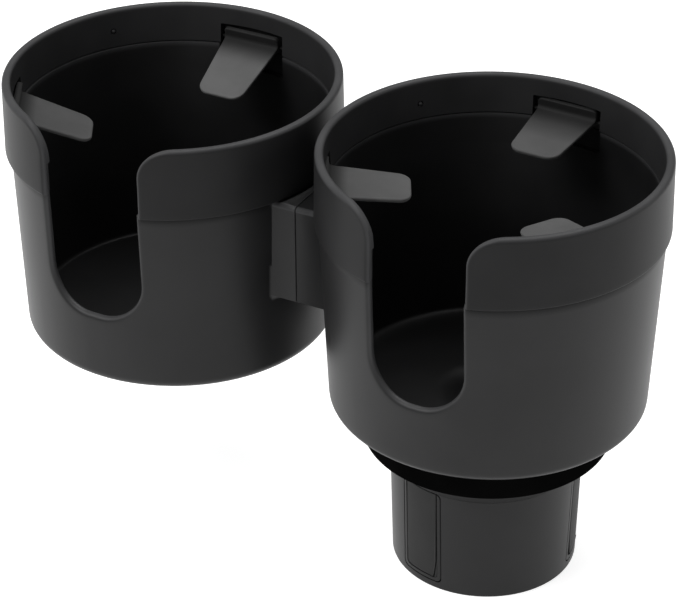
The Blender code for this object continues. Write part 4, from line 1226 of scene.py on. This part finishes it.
# %% Turn and cut the housing
groove_r = base_radius(CROWN_Z) - GROOVE_DEPTH
bead_r = groove_r + GROOVE_DEPTH + CROWN_STEP
skin = ([(0, 0), (BASE_FOOT_R - BASE_FOOT_ROUND, 0)]
        + arc((base_radius(BASE_FOOT_ROUND) - BASE_FOOT_ROUND, BASE_FOOT_ROUND),
              BASE_FOOT_ROUND, -75, 0, 5)
        + [(groove_r + GROOVE_DEPTH, CROWN_Z - GROOVE_TOP),
           (groove_r, CROWN_Z - GROOVE_TOP / 2), (groove_r, CROWN_Z)]
        + arc((bead_r, CROWN_Z + BEAD_ROUND), BEAD_ROUND, -90, 20, 4)
        + [(bead_r, CROWN_Z + BEAD_TOP), (base_radius(top_z) + CROWN_STEP, top_z), (0, top_z)])
housing = combined(turned("housing", skin, BASE_STEPS, BASE_PHASE), "DIFFERENCE",
                   base_form(BASE_WALL, BASE_FLOOR, BASE_HEIGHT))
window = pushed("window", rounded_box((-WINDOW_HALF, WINDOW_SILL_Z),
                                      (WINDOW_HALF, WINDOW_HEAD_Z), WINDOW_ROUND, WINDOW_ROUND),
                FOOT_INNER_R, BASE_TOP_R + PAST, "X")
for angle in FOOT_ANGLES:
    housing = combined(housing, "DIFFERENCE", moved(window.copy(), turn=angle))
    for side in (-1, 1):
        near, far = sorted((side * (ARM_HALF + GAP), side * (ARM_HALF + GAP + GUIDE_THICK)))
        housing = combined(housing, "UNION", block(
            (SCROLL_START_R, near, BASE_FLOOR / 2),
            (FOOT_INNER_R - GAP, far, BASE_FLOOR + GUIDE_HEIGHT), angle))
for angle in BOSS_ANGLES:
    housing = combined(housing, "UNION",
                       block((BOSS_CENTRE_R, -BOSS_WEB_HALF, BASE_FLOOR / 2),
                             (BASE_FOOT_R - BASE_WALL / 2, BOSS_WEB_HALF,
                              BASE_HEIGHT - SPIGOT_HEIGHT - GAP), angle),
                       post(BOSS_R, BOSS_CENTRE_R, BASE_FLOOR / 2, top_z, angle))
    housing = combined(housing, "DIFFERENCE",
                       post(BOSS_HOLE_R, BOSS_CENTRE_R, BASE_HEIGHT - BOSS_HOLE_DEPTH,
                            BASE_HEIGHT + PAST, angle))
add_piece("base_housing", housing)
print("housing", len(housing.polygons), "faces")

# %% [markdown]
# ## Feet and pads
# Each foot is a shoe that fills its window and ends flush with the base's skin. It is
# cored from behind, so that its walls are as thin as the base's, and an arm with a pin
# reaches in to the scroll plate. Its face carries a rubber pad, which grips the hole.

# %% Shape the feet and the pads
PAD_HALF = WINDOW_HALF - 1.9 * MM
PAD_FOOT_Z = WINDOW_SILL_Z + 1.9 * MM
PAD_THICK = 1.6 * MM
PAD_ROUND = 1.5 * MM
FOOT_SKIN = 1.6 * MM
ARM_END = 3 * MM                # how far the arm runs past its pin
ARM_TOP_Z = SCROLL_FOOT_Z - GAP
FOOT_PIN_R, FOOT_PIN_REACH = 1.8 * MM, 3.4 * MM
FOOT_SOFT, PAD_SOFT = 0.18 * MM, 0.25 * MM


def pad_block(start_r, grow, top_z):
    """A block with the pad's outline, square at its top and grown by a clearance."""
    outline = rounded_box((-PAD_HALF - grow, PAD_FOOT_Z - grow), (PAD_HALF + grow, top_z),
                          PAD_ROUND, 0)
    return pushed("pad", outline, start_r, BASE_TOP_R + PAST, "X")


half, foot_low, foot_high = WINDOW_HALF - GAP, WINDOW_SILL_Z + GAP, WINDOW_HEAD_Z - GAP
back_x = BASE_TOP_R - PAD_THICK - GAP - FOOT_SKIN
shoe = combined(pushed("shoe", rounded_box((-half, foot_low), (half, foot_high),
                                           WINDOW_ROUND, WINDOW_ROUND),
                       FOOT_INNER_R, BASE_TOP_R + PAST, "X"),
                "INTERSECT", base_form(0, -PAST, BASE_HEIGHT + PAST))
hollows = []
for side in (-1, 1):
    near, far = sorted((side * ARM_HALF, side * (half - FOOT_SKIN)))
    hollows.append(block((FOOT_INNER_R - PAST, near, foot_low + FOOT_SKIN),
                         (back_x, far, foot_high - FOOT_SKIN)))
shoe = combined(shoe, "DIFFERENCE", *hollows)
shoe = combined(shoe, "UNION",
                block((SCROLL_START_R - ARM_END, -ARM_HALF, foot_low),
                      (back_x + FOOT_SKIN / 2, ARM_HALF, ARM_TOP_Z)),
                post(FOOT_PIN_R, SCROLL_START_R, ARM_TOP_Z - FOOT_PIN_REACH,
                     ARM_TOP_Z + FOOT_PIN_REACH))
shoe = combined(shoe, "DIFFERENCE",
                pad_block(BASE_TOP_R - PAD_THICK - GAP, GAP, WINDOW_HEAD_Z + GAP))
pad = combined(pad_block(BASE_TOP_R - PAD_THICK, 0, foot_high), "INTERSECT",
               base_form(0, -PAST, BASE_HEIGHT + PAST))
for number, angle in enumerate(FOOT_ANGLES, start=1):
    soften(add_piece(f"foot_{number}", moved(shoe.copy(), turn=angle)), FOOT_SOFT, 2)
    soften(add_piece(f"foot_pad_{number}", moved(pad.copy(), turn=angle)), PAD_SOFT, 3)
print("foot", len(shoe.polygons), "faces, pad", len(pad.polygons), "faces")

# %% [markdown]
# ## Flange and screws
# The black flange closes the base and carries the cup. It is one turned dish. Its outer
# edges are rounder than the others, which is what keeps it a soft dark band in the
# shadow of the cup. The screws are plain round-head ones with a cross recess.

# %% Turn the flange
FLANGE_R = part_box("base_flange")[1].x
FLANGE_TOP_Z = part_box("base_flange")[1].z
DECK_TOP_Z = BASE_HEIGHT + 2.5 * MM
SPIGOT_R = BASE_TOP_R - BASE_WALL - 2 * GAP
SPIGOT_IN_R, SPIGOT_FOOT_Z = SPIGOT_R - 1.8 * MM, BASE_HEIGHT - SPIGOT_HEIGHT
DECK_HOLE_R = 9.378 * MM
RIM_IN_R = FLANGE_R - 4 * MM
LOW_ROUND, TOP_ROUND, INNER_ROUND = 0.9 * MM, 0.6 * MM, 0.4 * MM
dish = ([(DECK_HOLE_R, BASE_HEIGHT), (SPIGOT_IN_R, BASE_HEIGHT), (SPIGOT_IN_R, SPIGOT_FOOT_Z),
         (SPIGOT_R, SPIGOT_FOOT_Z), (SPIGOT_R, BASE_HEIGHT)]
        + arc((FLANGE_R - LOW_ROUND, BASE_HEIGHT + LOW_ROUND), LOW_ROUND, -90, 0, 8)
        + arc((FLANGE_R - TOP_ROUND, FLANGE_TOP_Z - TOP_ROUND), TOP_ROUND, 0, 90, 6)
        + arc((RIM_IN_R + INNER_ROUND, FLANGE_TOP_Z - INNER_ROUND), INNER_ROUND, 90, 180, 4)
        + [(RIM_IN_R, DECK_TOP_Z), (DECK_HOLE_R, DECK_TOP_Z)])
holes = [post(BOSS_HOLE_R, BOSS_CENTRE_R, BASE_HEIGHT - PAST, DECK_TOP_Z + PAST, angle, 24)
         for angle in BOSS_ANGLES]
flange = combined(turned("flange", dish, BASE_STEPS), "DIFFERENCE", *holes)
add_piece("base_flange", flange)
print("flange", len(flange.polygons), "faces")

# %% Make the screws and the washer
SCREW_TURN = 20.0               # degrees that each cross stands turned


def screw(node, radius, head_r, head_height, seat_z):
    """A round-head screw with a cross recess, standing where the plain one stands."""
    low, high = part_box(node)
    top, dome = seat_z + head_height, 0.6 * head_height
    head = ([(head_r - 0.1 * MM, seat_z), (head_r, seat_z + 0.1 * MM),
             (head_r, seat_z + 0.35 * head_height)]
            + arc((head_r - dome, top - dome), dome, 15, 90, 6))
    profile = [(0, low.z), (radius - 0.3 * MM, low.z), (radius, low.z + 0.5 * MM),
               (radius, seat_z)] + head + [(0, top)]
    arm, wide, deep = 0.55 * head_r, 0.13 * head_r, top - 0.5 * head_height
    cross = combined(block((-arm, -wide, deep), (arm, wide, top + MM)), "UNION",
                     block((-wide, -arm, deep), (wide, arm, top + MM)))
    mesh = combined(turned(node, profile, 48), "DIFFERENCE", cross)
    centre = (low + high) / 2
    add_piece(node, moved(mesh, (centre.x, centre.y, 0), SCREW_TURN))
    print(node, len(mesh.polygons), "faces")


washer_low, washer_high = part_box("hub_washer")
for number in (1, 2, 3):
    screw(f"flange_screw_{number}", 1.1 * MM, 2.5 * MM, 1.6 * MM, DECK_TOP_Z + GAP)
screw("hub_screw", 2.0 * MM, 4.5 * MM, 1.7 * MM, washer_high.z + GAP)
WASHER_ROUND = 0.2 * MM
edge_r = washer_high.x - WASHER_ROUND
washer = ([(BORE_R, washer_low.z)]
          + arc((edge_r, washer_low.z + WASHER_ROUND), WASHER_ROUND, -90, 0, 4)
          + arc((edge_r, washer_high.z - WASHER_ROUND), WASHER_ROUND, 0, 90, 4)
          + [(BORE_R, washer_high.z)])
add_piece("hub_washer", turned("washer", washer, 96))
print("washer", round(2 * washer_high.x / MM, 1), "mm across")

# %% [markdown]
# ## The size at the end
# The last cell prints the size of the dressed part; the bare model's size is printed at the
# start.

# %% Print the size
low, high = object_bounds()
print("visual", [round(v / MM, 2) for v in high - low], "mm")
